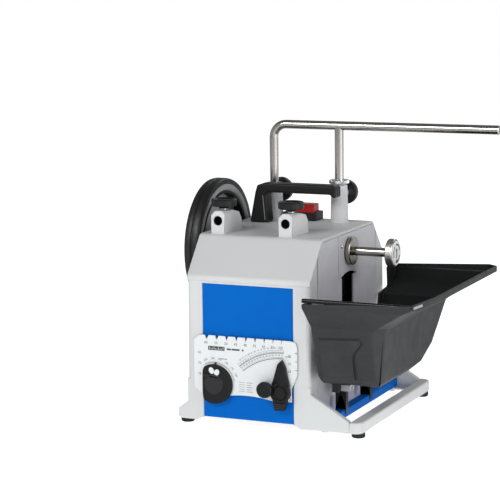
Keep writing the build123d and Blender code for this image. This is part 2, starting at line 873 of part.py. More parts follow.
def make_end_shield(side):
    """A cup that closes one end of the motor and holds its bearing."""
    x0, x1 = (shield_left, stator_left) if side < 0 else (stator_right, shield_right)
    cup = motor_rod(motor_radius, x0, x1)
    hollow = (x0 + 4, x1 + 1) if side < 0 else (x0 - 1, x1 - 4)
    cup -= motor_rod(motor_radius - 5, hollow[0], hollow[1])
    seat = bearing_span(side)
    cup += motor_rod(bearing_radius + 3, seat[0], seat[1])
    cup -= motor_rod(bearing_radius, seat[0], seat[1])
    outside = (x0 - 1, x0 + 5) if side < 0 else (x1 - 5, x1 + 1)
    return cup - motor_rod(motor_shaft_radius + 1.5, outside[0], outside[1])


def bearing_span(side):
    """Where a motor bearing lies along X."""
    if side < 0:
        return shield_left + 4, shield_left + 4 + bearing_width
    return shield_right - 4 - bearing_width, shield_right - 4


def make_motor_bearing(side):
    """A ball bearing, drawn as one ring."""
    x0, x1 = bearing_span(side)
    return motor_rod(bearing_radius, x0, x1) - motor_rod(motor_shaft_radius + running_gap, x0 - 1, x1 + 1)


def make_rotor():
    """The squirrel-cage rotor."""
    core = motor_rod(stator_bore - rotor_air_gap, stator_left + 4, stator_right - 4)
    return core - motor_rod(motor_shaft_radius, stator_left, stator_right)


def make_motor_shaft():
    """The motor's shaft, with the spindle that drives the liner at its left end."""
    spindle_end = web_right + 1.5
    shaft = motor_rod(motor_shaft_radius, shield_left - 6, fan_left + fan_length + 2)
    return shaft + motor_rod(spindle_radius, spindle_end, shield_left - 5)


def make_fan():
    """The cooling fan on the motor's right end."""
    fan = motor_rod(fan_radius, fan_left, fan_left + 2)
    fan += motor_rod(motor_shaft_radius + 4, fan_left, fan_left + fan_length)
    for step in range(8):
        blade = block(fan_left, fan_left + fan_length, mid_y - 0.8, mid_y + 0.8,
                      motor_z + motor_shaft_radius + 1, motor_z + fan_radius - 1)
        fan += blade.rotate(Axis((0, mid_y, motor_z), (1, 0, 0)), 45 * step)
    return fan - motor_rod(motor_shaft_radius, fan_left - 1, fan_left + fan_length + 1)


def make_motor_cradle():
    """The saddle and the two arms that hang the motor on its pivot."""
    left, right = cradle_arm_x()
    end = right + hanger_sheet
    saddle = motor_rod(motor_radius + 3, left, end)
    saddle = saddle & block(left - 1, end + 1, mid_y + 14, mid_y + 60, motor_z - 14, motor_z + 60)
    for x0 in (left, right):
        arm = [(mid_y + 34, motor_z - 14), (mid_y + 26, motor_z + 39), (pivot_y - 6, pivot_z + 8)]
        arm += [(pivot_y + 8, pivot_z + 8), (pivot_y + 8, pivot_z - 8), (pivot_y - 10, pivot_z - 10)]
        saddle += side_plate(arm, x0, x0 + hanger_sheet)
    saddle -= motor_rod(motor_radius, left - 1, end + 1)
    return saddle - rod_x(pivot_y, pivot_z, pivot_radius + running_gap, left - 1, end + 1)


def cradle_arm_x():
    """The left faces of the cradle's two arms."""
    return [hanger_left + hanger_sheet + 1, hanger_right - 2 * hanger_sheet - 1]


def hanger_plate_x():
    """The left faces of the hanger's two plates."""
    return [hanger_left, hanger_right - hanger_sheet]


def make_motor_hanger():
    """The bracket under the hood that carries the pivot."""
    top = body_height - cast_wall
    left, right = hanger_plate_x()
    end = right + hanger_sheet
    hanger = block(left, end, pivot_y + 1, pivot_y + 5, pivot_z + 18, top - 24)
    for x0 in (left, right):
        hanger += block(x0, x0 + hanger_sheet, pivot_y - 6.5, pivot_y + 5, pivot_z - 9, top)
    hanger += block(left, left + hanger_flange, pivot_y - 6.5, pivot_y + 5, top - hanger_sheet, top)
    hanger += block(end - hanger_flange, end, pivot_y - 6.5, pivot_y + 5, top - hanger_sheet, top)
    hanger -= rod_x(pivot_y, pivot_z, pivot_radius, left - 1, right + hanger_sheet + 1)
    return hanger - hanger_screw_holes()


def hanger_screw_places():
    """The two screws that hold the hanger under the hood."""
    inset = hanger_flange - 4.5
    return [(hanger_left + inset, pivot_y - 1.5), (hanger_right - inset, pivot_y - 1.5)]


def hanger_screw_holes():
    """The holes for the hanger's screws."""
    top = body_height - cast_wall
    holes = [rod_z(x, y, 2, top - hanger_sheet - 1, top + 2) for x, y in hanger_screw_places()]
    return holes[0] + holes[1]


def make_hanger_screws():
    """Two screws up into the hood."""
    top = body_height - cast_wall
    screws = []
    for x, y in hanger_screw_places():
        head = rod_z(x, y, 3.5, top - hanger_sheet - 3, top - hanger_sheet)
        screws.append(head + rod_z(x, y, 2, top - hanger_sheet, top + 2))
    return screws


def make_motor_pivot():
    """The pin that the motor swings on."""
    left, right = hanger_plate_x()
    return rod_x(pivot_y, pivot_z, pivot_radius, left - 2, right + hanger_sheet + 2)


def capacitor_place():
    """Where the capacitor stands: x and y."""
    return half_width - 38, body_depth - 36


def make_capacitor():
    """The motor's capacitor, standing on the base plate."""
    x, y = capacitor_place()
    low = frame_bottom + sheet
    can = rod_z(x, y, capacitor_radius, low, low + capacitor_length)
    return fillet(can.edges().sort_by(Axis.Z)[-1], 3)


def make_capacitor_clip():
    """The spring clip round the capacitor."""
    x, y = capacitor_place()
    low = frame_bottom + sheet
    clip = rod_z(x, y, capacitor_radius + 1.5, low, low + 16)
    clip -= rod_z(x, y, capacitor_radius, low - 1, low + 17)
    return clip - block(x - 4, x + 4, y - capacitor_radius - 3, y, low - 1, low + 17)


# ---------------------------------------------------------------- water trough
def trough_long_points(extra):
    """The trough's outline seen from the side, with its top raised by extra."""
    back = trough_back
    low = trough_bottom
    high = rim_height + rim_lift + extra
    points = [(trough_front, high), (trough_front, rim_height - 5), (-8, 140), (-1, low + 9), (8, low)]
    points += [(mid_y - 20, low - 1), (mid_y + 22, low + 4), (mid_y + 62, low + 21), (mid_y + 82, low + 40)]
    points += [(mid_y + 112, low + 70), (back - 14, rim_height - 18), (back, rim_height - 5), (back, high)]
    return points


def trough_cross_points(extra):
    """The trough's outline seen from the front, with its top raised by extra."""
    left = trough_left
    right = trough_right
    body = left + trough_body_width
    low = trough_bottom - 2
    points = [(left, rim_height + extra), (left + 2, 144), (left + 10, low + 6), (left + 13, low)]
    points += [(body - 6, low), (body - 2, low + 6), (body + 2, 138), (right - 14, rim_height - 3)]
    points += [(right, rim_height - 1), (right, rim_height + rim_lift + extra)]
    return points


def corner_face(x, y, z, inset):
    """A flat region at height z outside the slanted line that starts at (x, y)."""
    length = sqrt(body_corner_width ** 2 + body_corner_length ** 2)
    along = (body_corner_width / length, body_corner_length / length)
    x -= inset * along[1]
    y += inset * along[0]
    start = (x - 60 * along[0], y - 60 * along[1])
    end = (x + 90 * along[0], y + 90 * along[1])
    aside = (80 * along[1], -80 * along[0])
    outside = [(end[0] + aside[0], end[1] + aside[1]), (start[0] + aside[0], start[1] + aside[1])]
    return Pos(0, 0, z) * make_face(Polyline(start, end, *outside, close=True))


def trough_corner(inset):
    """What the slanted corner at the trough's front right takes away."""
    body_x = trough_left + trough_body_width + 2 - body_corner_width
    body_y = -8.0
    body = corner_face(body_x, body_y, trough_bottom - 10, inset)
    bend = corner_face(body_x, body_y, body_bend, inset)
    rim = corner_face(trough_right - rim_taper - 2, trough_front, rim_height, inset)
    above = corner_face(trough_right - rim_taper - 2, trough_front, rim_height + 60, inset)
    corner = loft([body, bend], ruled=True)
    for low, high in ((bend, rim), (rim, above)):
        corner += loft([low, high], ruled=True)
    return corner


def trough_plan_points():
    """The trough's outline seen from above: the rim tapers at the front and is cut at the back."""
    taper = [(trough_right - rim_taper, trough_front), (trough_right, trough_front + rim_taper_length)]
    cut = [(trough_right, trough_back - rim_corner), (trough_right - rim_corner, trough_back)]
    return [(trough_left, trough_front)] + taper + cut + [(trough_left, trough_back)]


def trough_solid(inset, extra):
    """The trough's outer shape, or its inside when it is moved in by the wall."""
    long_face = make_face(Polyline(*trough_long_points(extra), close=True))
    cross_face = make_face(Polyline(*trough_cross_points(extra), close=True))
    plan = make_face(Polyline(*trough_plan_points(), close=True))
    if inset:
        plan = offset(plan, -inset, kind=Kind.INTERSECTION)
        long_face = offset(long_face, -inset, kind=Kind.INTERSECTION)
        cross_face = offset(cross_face, -inset, kind=Kind.INTERSECTION)
    long_solid = Plane.YZ.offset(trough_left - 5) * extrude(long_face, trough_width + 10)
    plane = Plane(origin=(0, trough_back + 5, 0), x_dir=(1, 0, 0), z_dir=(0, -1, 0))
    cross_solid = plane * extrude(cross_face, trough_back - trough_front + 10)
    plan_solid = Pos(0, 0, trough_bottom - 10) * extrude(plan, 200)
    return (long_solid & cross_solid & plan_solid) - trough_corner(inset)


def make_trough():
    """The plastic trough with its flared rim, low inner wall and feet."""
    trough = trough_solid(0, 0)
    trough -= trough_solid(trough_wall, 40)
    inner_cut = [(-12, 190), (4, trough_bottom + 45), (mid_y + 80, trough_bottom + 45), (mid_y + 97, 143)]
    inner_cut += [(mid_y + 133, 147), (mid_y + 137, 190)]
    trough -= side_plate(inner_cut, trough_left - 2, trough_left + 12)
    rail_cut = [trough_right - 13, trough_right - 4, mid_y - 45, trough_back - 22]
    trough -= block(rail_cut[0], rail_cut[1], rail_cut[2], rail_cut[3], rim_height + 2, rim_height + 20)
    inside = trough_solid(trough_wall, 40)
    for y in arm_places():
        x0 = trough_left + 7
        post_y = y - 11 if y < mid_y - 20 else y + arm_width + 3
        feet = block(x0, x0 + 9, post_y, post_y + 8, arm_top - arm_height, trough_bottom + 26)
        feet += block(x0 + 5, x0 + 15, y + 2, y + arm_width - 2, arm_top, trough_bottom + 26)
        trough += feet - inside
    return trough


def arm_places():
    """The front faces of the two trough arms."""
    return [arm_front, arm_front + arm_pitch]


def arm_screw_z():
    """The heights of the screws that hold a trough arm."""
    return [arm_top - arm_height - 5, arm_top + 6]


def make_trough_arm(y):
    """A steel arm on the side wall that the trough rests on."""
    low = arm_top - arm_height
    arm = block(half_width, half_width + arm_reach, y, y + arm_width, low, arm_top)
    arm -= block(half_width + sheet, half_width + arm_reach + 1, y + sheet, y + arm_width - sheet,
                 low - 1, arm_top - sheet)
    arm += block(half_width, half_width + sheet, y, y + arm_width, low - 10, arm_top + 11)
    for z in arm_screw_z():
        arm -= rod_x(y + arm_width / 2, z, 2, half_width - 1, half_width + sheet + 1)
    return arm


def make_arm_screws():
    """The screws that hold both trough arms."""
    screws = []
    for y in arm_places():
        for z in arm_screw_z():
            middle = y + arm_width / 2
            head = rod_x(middle, z, 3.3, half_width + sheet, half_width + sheet + 1.8)
            screws.append(head + rod_x(middle, z, 2, half_width - 6, half_width + sheet))
    return screws


def make_trough_fork(y):
    """A plastic fork that clips on the strut and props an arm."""
    low = frame_foot + 3 + strut_height
    high = arm_top - arm_height
    x0 = strut_left - 0.5
    x1 = strut_left + strut_width + 1
    fork = block(x0, x1, y + 3, y + arm_width - 3, low - 6, high)
    fork -= block(strut_left, strut_left + strut_width, y, y + arm_width, low - 7, low)
    return fork - block((x0 + x1) / 2 - 1.8, (x0 + x1) / 2 + 1.8, y, y + arm_width, low - 7, high - 7)


# ---------------------------------------------------------------- angle gauge
def gauge_outline():
    """The gauge plate's outline without its notches."""
    left = gauge_left
    right = gauge_right
    high = gauge_high
    low = gauge_low
    start = (left, low + 12)
    upper = Polyline(start, (left, high - 7), (left + 6, high - 1), (left + 12, high), (right - 9, high),
                     (right - 2, high - 2), (right, high - 7), (right, low + 37), (right - 8, low + 19),
                     (right - 8, low + 2))
    bow_start = (pointer_x - 8, low)
    bow_end = (dial_x + 18, low + 3)
    bow = ThreePointArc(bow_start, ((bow_start[0] + bow_end[0]) / 2, low + 5), bow_end)
    lower = Polyline(bow_end, (left + 12, low + 3), start)
    return make_face([upper, Polyline((right - 8, low + 2), bow_start), bow, lower])


def gauge_notches():
    """V notches along the top edge and slots down the right edge."""
    cuts = []
    for step in range(notch_count):
        x = gauge_left + notch_start + notch_pitch * step - notch_closing * step * step
        half = 3.4 - 0.33 * step
        cuts.append(front_plate([(x - half, gauge_high + 1), (x + half, gauge_high + 1),
                                 (x, gauge_high - notch_depth)], gauge_front - 1, gauge_back + 1))
    for step in range(4):
        z = gauge_high - 15 - 11 * step
        cuts.append(front_plate([(gauge_right + 1, z - 1), (gauge_right + 1, z + 1), (gauge_right - 4, z)],
                                gauge_front - 1, gauge_back + 1))
    return cuts


def make_gauge_plate():
    """The gauge's flat plate."""
    plane = Plane(origin=(0, gauge_back, 0), x_dir=(1, 0, 0), z_dir=(0, -1, 0))
    plate = plane * extrude(gauge_outline(), gauge_sheet)
    for cut in gauge_notches():
        plate -= cut
    for x, z in gauge_pivots():
        plate -= rod_y(x, z, rivet_radius, gauge_front - 1, gauge_back + 1)
    return plate


def gauge_pivots():
    """The two pivots on the plate: the dial's and the pointer's."""
    return [(dial_x, dial_z), (pointer_x, pointer_z)]


def make_gauge_magnets():
    """Two flat magnets behind the plate."""
    reach = frame_sheet - sheet
    return [rod_y(x, gauge_low + 50, 8, gauge_back, reach - 0.05) for x in (-30.0, 30.0)]


def make_gauge_rivets():
    """The rivets that the dial and the pointer turn on."""
    rivets = []
    for (x, z), depth in zip(gauge_pivots(), (dial_thickness, pointer_thickness)):
        rivets.append(rod_y(x, z, rivet_radius, gauge_front - depth + 1, gauge_back))
    return rivets


def make_gauge_dial():
    """The dial: a round plate with one flat side and a nib."""
    y1 = gauge_front - 0.3
    y0 = y1 - dial_thickness
    dial = rod_y(dial_x, dial_z, dial_radius, y0, y1)
    dial -= block(dial_x - 2 * dial_radius, dial_x - dial_flat, y0 - 1, y1 + 1, 0, 2 * dial_z)
    nib_x = dial_x + 2
    nib_z = dial_z + dial_radius - 1.5
    dial += front_plate([(nib_x - 3, nib_z), (nib_x + 3, nib_z - 0.5), (nib_x, nib_z + 4.5)], y0, y1)
    return dial - rod_y(dial_x, dial_z, rivet_radius + running_gap, y0 + 0.7, y1 + 1)


def make_gauge_pointer():
    """The pointer: a spear, a round boss and a ribbed tail."""
    y1 = gauge_front - 0.3
    y0 = y1 - pointer_thickness
    x = pointer_x
    z = pointer_z
    spear = [(x + 2, z + pointer_length), (x - 4, z + pointer_length - 6), (x - 11, z + 12), (x - 12, z)]
    spear += [(x + 12, z), (x + 11, z + 10), (x + 6.5, z + pointer_length - 9)]
    pointer = front_plate(spear, y0 + 3, y1)
    pointer += rod_y(x, z, pointer_radius, y0, y1)
    pointer += rod_y(gauge_knob_x, gauge_knob_z, 6, y0 + 1, y1)
    tail = [(x - 10, z - 12), (x - 8, z - 23), (x + 5, z - 23)]
    tail += [(x + 9, z - 12), (x + 9, z - 5), (x - 10, z - 5)]
    pointer += front_plate(tail, y0 + 1, y1)
    socket = rod_y(gauge_knob_x, gauge_knob_z, gauge_stem_radius + running_gap, y0 - 1, y1 - 1)
    return pointer - rod_y(x, z, rivet_radius + running_gap, y0 + 0.7, y1 + 1) - socket


def make_gauge_knob():
    """The small knob beside the pointer."""
    y1 = gauge_front - 0.3 - pointer_thickness - 0.3
    knob = rod_y(gauge_knob_x, gauge_knob_z, gauge_knob_radius, y1 - 6, y1)
    knob = chamfer(knob.edges(), 0.8)
    return knob + rod_y(gauge_knob_x, gauge_knob_z, gauge_stem_radius, y1 - 1, gauge_front - 1.6)


# ---------------------------------------------------------------- assembly
def make_rear_frame():
    """The rear frame mirrors the front one, with wider sides."""
    frame = mirrored(make_front_frame())
    for side in (-1, 1):
        edges = sorted([side * half_width, side * (half_width - frame_sheet)])
        frame += block(edges[0], edges[1], body_depth - rear_side_width + seam_gap, body_depth - 10,
                       frame_bottom, seam_z)
    return frame


def all_parts():
    """Every node by name, each one a solid or a list of separate solids."""
    parts = {
        "top_casting": make_top_casting(),
        "front_frame": make_front_frame(),
        "rear_frame": make_rear_frame(),
        "side_panel_right": make_side_panel(1),
        "side_panel_left": make_side_panel(-1),
        "bearing_cover": make_bearing_cover(),
        "front_panel": make_front_panel(),
        "rear_panel": make_rear_panel(),
        "cord_gland": make_cord_gland(),
        "base_plate": make_base_plate(),
        "base_rail": make_base_rail(),
        "base_strut": make_base_strut(),
        "frame_screws": make_cover_screws() + make_base_screws() + make_arm_screws() + make_hanger_screws(),
        "rubber_feet": [make_foot(x, y) for x, y in foot_places()],
        "foot_screws": make_foot_screws(),
        "carry_handle": make_handle(),
        "handle_fixings": make_handle_screws() + [make_handle_dowel()],
        "switch_housing": make_switch_housing(),
        "switch_contact_block": contact_block(0),
        "switch_pin": make_switch_pin(),
        "switch_rocker": make_switch_rocker(),
        "support_bar": make_support_bar(),
        "support_bar_cap": make_support_cap(),
        "micro_adjust_nut": make_adjust_nut(),
        "main_shaft": make_main_shaft(),
        "shaft_bush_right": make_bush(1),
        "shaft_bush_left": make_bush(-1),
        "arbor_seal": make_arbor_seal(),
        "flange_washer": make_flange_washer(),
        "quick_nut": make_quick_nut(),
        "quick_nut_face": make_nut_face(),
        "honing_wheel_body": make_wheel_body(),
        "honing_wheel_tread": make_honing_tyre(),
        "friction_liner": make_friction_liner(),
        "honing_wheel_nut": make_wheel_nut(),
        "motor_stator": make_stator(),
        "motor_end_shields": [make_end_shield(-1), make_end_shield(1)],
        "motor_bearings": [make_motor_bearing(-1), make_motor_bearing(1)],
        "motor_rotor": make_rotor(),
        "motor_shaft": make_motor_shaft(),
        "motor_fan": make_fan(),
        "motor_cradle": make_motor_cradle(),
        "motor_hanger": make_motor_hanger(),
        "motor_pivot_pin": make_motor_pivot(),
        "motor_capacitor": make_capacitor(),
        "capacitor_clip": make_capacitor_clip(),
        "water_trough": make_trough(),
        "trough_arms": [make_trough_arm(y) for y in arm_places()],
        "trough_forks": [make_trough_fork(y) for y in arm_places()],
        "gauge_plate": make_gauge_plate(),
        "gauge_magnets": make_gauge_magnets(),
        "gauge_rivets": make_gauge_rivets(),
        "gauge_dial": make_gauge_dial(),
        "gauge_pointer": make_gauge_pointer(),
        "gauge_knob": make_gauge_knob(),
    }
    for index, side in enumerate(("left", "right")):
        front = front_knob_place(front_sleeve_x[index])
        rear = rear_knob_place((-leg_x, leg_x)[index])
        parts[f"clamp_knob_front_{side}"] = [front * make_knob(), front * make_stud(front_stud_length())]
        parts[f"clamp_knob_rear_{side}"] = [rear * make_knob(), rear * make_stud(rear_stud_length())]
    return parts


def main():
    """Builds every part, moves it to the origin's frame and writes one file each."""
    os.makedirs("parts", exist_ok=True)
    for name, part in all_parts().items():
        solids = part if isinstance(part, list) else [part]
        moved = [Pos(-centre_x, -centre_y, 0) * solid for solid in solids]
        export_step(Compound(children=moved) if len(moved) > 1 else moved[0], f"parts/{name}.step")


if __name__ == "__main__":
    main()
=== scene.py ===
import json
import math

import bmesh
import bpy
from mathutils import Matrix, Vector


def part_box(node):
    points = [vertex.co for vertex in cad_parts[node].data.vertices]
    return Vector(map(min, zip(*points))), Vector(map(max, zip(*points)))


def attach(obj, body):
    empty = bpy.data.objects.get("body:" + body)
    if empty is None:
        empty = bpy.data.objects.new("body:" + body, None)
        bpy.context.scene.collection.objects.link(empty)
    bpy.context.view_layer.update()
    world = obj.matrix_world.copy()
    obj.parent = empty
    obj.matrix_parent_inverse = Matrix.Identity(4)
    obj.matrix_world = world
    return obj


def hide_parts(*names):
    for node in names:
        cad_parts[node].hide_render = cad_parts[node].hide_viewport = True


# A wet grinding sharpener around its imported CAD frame. Sizes in this script are millimetres
# measured from the housing: x from its middle plane, y from its front face, z from the bench.

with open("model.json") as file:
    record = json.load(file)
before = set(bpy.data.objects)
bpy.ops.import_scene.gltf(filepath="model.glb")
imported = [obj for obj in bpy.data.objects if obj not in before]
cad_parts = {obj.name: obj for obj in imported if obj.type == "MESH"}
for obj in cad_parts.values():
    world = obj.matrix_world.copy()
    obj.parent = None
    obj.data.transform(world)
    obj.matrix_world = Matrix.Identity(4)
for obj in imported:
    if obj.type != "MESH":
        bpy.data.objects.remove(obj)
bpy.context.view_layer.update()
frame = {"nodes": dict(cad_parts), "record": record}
nodes = frame["nodes"]
bodies = frame["record"]["behaviour"]["bodies"]
body_of = {node: body for body, members in bodies.items() for node in members}
slot_of = {part["node"]: part["material_slot"] for part in frame["record"]["subparts"]}

hood_low, hood_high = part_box("top_casting")
middle_x = (hood_low.x + hood_high.x) / 2
front_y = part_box("front_frame")[0].y


def at(x, y, z):
    """A point given in millimetres from the housing, in the frame's metres."""
    return Vector((middle_x + x / 1000, front_y + y / 1000, z / 1000))


def from_housing(point):
    """A point of the frame, in millimetres from the housing."""
    return (point - Vector((middle_x, front_y, 0))) * 1000


def local_box(node):
    """A CAD node's corners in millimetres from the housing."""
    low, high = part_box(node)
    return from_housing(low), from_housing(high)


def centre_of(low, high, **fixed):
    """The middle of a box as a list, with the named axes set to fixed values."""
    middle = (low + high) / 2
    return [fixed.get(axis, value) for axis, value in zip("xyz", middle)]


# Levels and edges of the housing that the rounding, the bends and the paint depend on.
half_width = 85
housing_depth = 270
seam_z = 188
roof_z = 242
roof_front = 44
bore_places = (-60.5, 33.7)
bore_z = 259
bend_start = 64.5
bend_strips = 5
bend_depth = 2.6
bend_foot = 70

# Centres on the angle gauge, as (x, z).
dial_centre = (-45.0, 56.4)
pointer_boss = (48.5, 53.2)
scale_centre = (48.0, 15.0)

print_depth = 0.06


# ---------------------------------------------------------------- camera
camera_angles = (24.15, 8.86, -0.69)
camera_distance = 2.5215
camera_aim = (-39.66, 100, 214.18)


def place_camera():
    """The camera stands where the picture was taken from: azimuth, elevation and roll about its aim."""
    azimuth, elevation, roll = (math.radians(angle) for angle in camera_angles)
    back = Vector((math.sin(azimuth) * math.cos(elevation), -math.cos(azimuth) * math.cos(elevation),
                   math.sin(elevation)))
    level = Vector((math.cos(azimuth), math.sin(azimuth), 0))
    right = level * math.cos(roll) + back.cross(level) * math.sin(roll)
    up = back.cross(right)
    data = bpy.data.cameras.new("camera")
    data.sensor_width = 36
    data.lens = 138.5
    data.clip_end = 200
    camera = bpy.data.objects.new("camera", data)
    bpy.context.scene.collection.objects.link(camera)
    turn = Matrix((right, up, back)).transposed().to_4x4()
    camera.matrix_world = Matrix.Translation(at(*camera_aim) + back * camera_distance) @ turn
    bpy.context.scene.camera = camera


place_camera()


# ---------------------------------------------------------------- materials
class Shader:
    """A small helper that adds nodes to one material and links them."""

    def __init__(self, name):
        self.material = bpy.data.materials.new(name)
        self.material.use_nodes = True
        self.tree = self.material.node_tree
        self.surface = self.tree.nodes["Principled BSDF"]
        self.coords = self.add("ShaderNodeTexCoord").outputs["Object"]

    def add(self, kind, **values):
        node = self.tree.nodes.new(kind)
        for key, value in values.items():
            setattr(node, key, value)
        return node

    def link(self, source, target):
        self.tree.links.new(source, target)

    def stretched(self, stretch):
        """Object coordinates scaled on each axis."""
        mapping = self.add("ShaderNodeMapping")
        mapping.inputs["Scale"].default_value = stretch
        self.link(self.coords, mapping.inputs["Vector"])
        return mapping.outputs["Vector"]

    def noise(self, scale, detail=3.0, stretch=None):
        """Even noise, or streaks where the coordinates are stretched."""
        node = self.add("ShaderNodeTexNoise")
        node.inputs["Scale"].default_value = scale
        node.inputs["Detail"].default_value = detail
        node.inputs["Roughness"].default_value = 0.55
        self.link(self.stretched(stretch) if stretch else self.coords, node.inputs["Vector"])
        return node.outputs["Fac"]

    def span(self, source, low, high, start=0.3, end=0.7):
        """The source from start to end, spread over low to high."""
        node = self.add("ShaderNodeMapRange")
        for key, value in (("From Min", start), ("From Max", end), ("To Min", low), ("To Max", high)):
            node.inputs[key].default_value = value
        self.link(source, node.inputs["Value"])
        return node.outputs["Result"]

    def mix(self, factor, first, second):
        """A blend of two colours, each one a colour or a socket."""
        node = self.add("ShaderNodeMix", data_type="RGBA")
        self.link(factor, node.inputs["Factor"])
        for value, socket in ((first, node.inputs["A"]), (second, node.inputs["B"])):
            if isinstance(value, bpy.types.NodeSocket):
                self.link(value, socket)
            else:
                socket.default_value = (*value, 1)
        return node.outputs["Result"]

    def multiply(self, first, second):
        node = self.add("ShaderNodeMath", operation="MULTIPLY")
        self.link(first, node.inputs[0])
        self.link(second, node.inputs[1])
        return node.outputs[0]

    def bump(self, height, depth):
        """Relief of the given depth in metres."""
        node = self.add("ShaderNodeBump")
        node.inputs["Distance"].default_value = depth
        self.link(height, node.inputs["Height"])
        self.link(node.outputs["Normal"], self.surface.inputs["Normal"])

    def colour(self, socket):
        self.link(socket, self.surface.inputs["Base Color"])

    def rough(self, socket):
        self.link(socket, self.surface.inputs["Roughness"])

    def set(self, **values):
        """Constants on the surface's sockets, with _ for each space in a name."""
        for key, value in values.items():
            self.surface.inputs[key.replace("_", " ")].default_value = value


def shade(colour, factor):
    """The colour made lighter or darker."""
    return tuple(min(1.0, channel * factor) for channel in colour)


def edge_wear(shader, base, worn, amount):
    """Lightens the convex edges in patches, as handling does."""
    geometry = shader.add("ShaderNodeNewGeometry")
    edges = shader.span(geometry.outputs["Pointiness"], 0, amount, 0.53, 0.62)
    patches = shader.span(shader.noise(60, 4), 0, 1, 0.42, 0.62)
    return shader.mix(shader.multiply(edges, patches), base, worn)


def painted(name, colour, roughness=0.42, grain=1100, depth=0.00005, wear=0.35, gloss=0.45):
    """Powder coat: a fine orange peel, faint clouding and slightly polished edges."""
    shader = Shader(name)
    clouds = shader.mix(shader.noise(9, 4), shade(colour, 0.965), shade(colour, 1.03))
    speckle = shader.mix(shader.span(shader.noise(2400, 2), 0, 0.16), clouds, shade(colour, 0.72))
    shader.colour(edge_wear(shader, speckle, shade(colour, 1.12), wear))
    shader.rough(shader.span(shader.noise(35, 3), roughness - 0.05, roughness + 0.07))
    shader.bump(shader.noise(grain, 3), depth)
    shader.set(Specular_IOR_Level=gloss)
    return shader.material


def moulded(name, colour, roughness=0.45, grain=1600, depth=0.00006, wear=0.5, scuffs=0.25):
    """Moulded plastic: leather-fine grain, a slight bloom and rubbed edges."""
    shader = Shader(name)
    bloom = shader.mix(shader.noise(14, 5), shade(colour, 0.82), shade(colour, 1.28))
    streaks = shader.span(shader.noise(40, 4, (1, 1, 9)), 0, scuffs, 0.55, 0.75)
    scuffed = shader.mix(streaks, bloom, shade(colour, 1.9))
    shader.colour(edge_wear(shader, scuffed, shade(colour, 3.2), wear))
    shader.rough(shader.span(shader.noise(50, 4), roughness - 0.07, roughness + 0.1))
    shader.bump(shader.noise(grain, 2), depth)
    shader.set(Specular_IOR_Level=0.32)
    return shader.material


def metal(name, colour, roughness=0.25, stretch=(40, 900, 900), depth=0.00001, tarnish=0.12):
    """Machined metal: fine lines along one axis, and a faint change of tone."""
    shader = Shader(name)
    lines = shader.noise(1.0, 3, stretch)
    tone = shader.mix(shader.span(shader.noise(22, 4), 0, tarnish), colour, shade(colour, 0.62))
    shader.colour(shader.mix(shader.span(lines, 0, 0.35), tone, shade(colour, 0.8)))
    shader.rough(shader.span(lines, roughness - 0.06, roughness + 0.08))
    shader.bump(lines, depth)
    shader.set(Metallic=1.0)
    return shader.material


def rubbery(name, colour, roughness=0.7):
    """Rubber: matt, with dust in its pores."""
    shader = Shader(name)
    dust = shader.span(shader.noise(300, 5), 0, 0.3, 0.5, 0.8)
    shader.colour(shader.mix(dust, colour, shade(colour, 2.2)))
    shader.rough(shader.span(shader.noise(90, 3), roughness - 0.08, roughness + 0.1))
    shader.bump(shader.noise(2200, 3), 0.00005)
    return shader.material


def turned(name, colour, roughness=0.24):
    """A face turned on a lathe: fine rings about the part's own X axis."""
    shader = Shader(name)
    rings = shader.add("ShaderNodeTexNoise")
    rings.inputs["Scale"].default_value = 1.0
    shader.link(shader.stretched((2500, 60, 60)), rings.inputs["Vector"])
    clouds = shader.span(shader.noise(28, 4), 0, 0.35)
    tone = shader.mix(clouds, colour, shade(colour, 0.62))
    shader.colour(shader.mix(shader.span(rings.outputs["Fac"], 0, 0.3), tone, shade(colour, 0.75)))
    shader.rough(shader.span(rings.outputs["Fac"], roughness - 0.05, roughness + 0.1))
    shader.bump(rings.outputs["Fac"], 0.00001)
    tangent = shader.add("ShaderNodeTangent", direction_type="RADIAL", axis="X")
    shader.link(tangent.outputs[0], shader.surface.inputs["Tangent"])
    shader.set(Metallic=1.0, Anisotropic=0.7)
    return shader.material


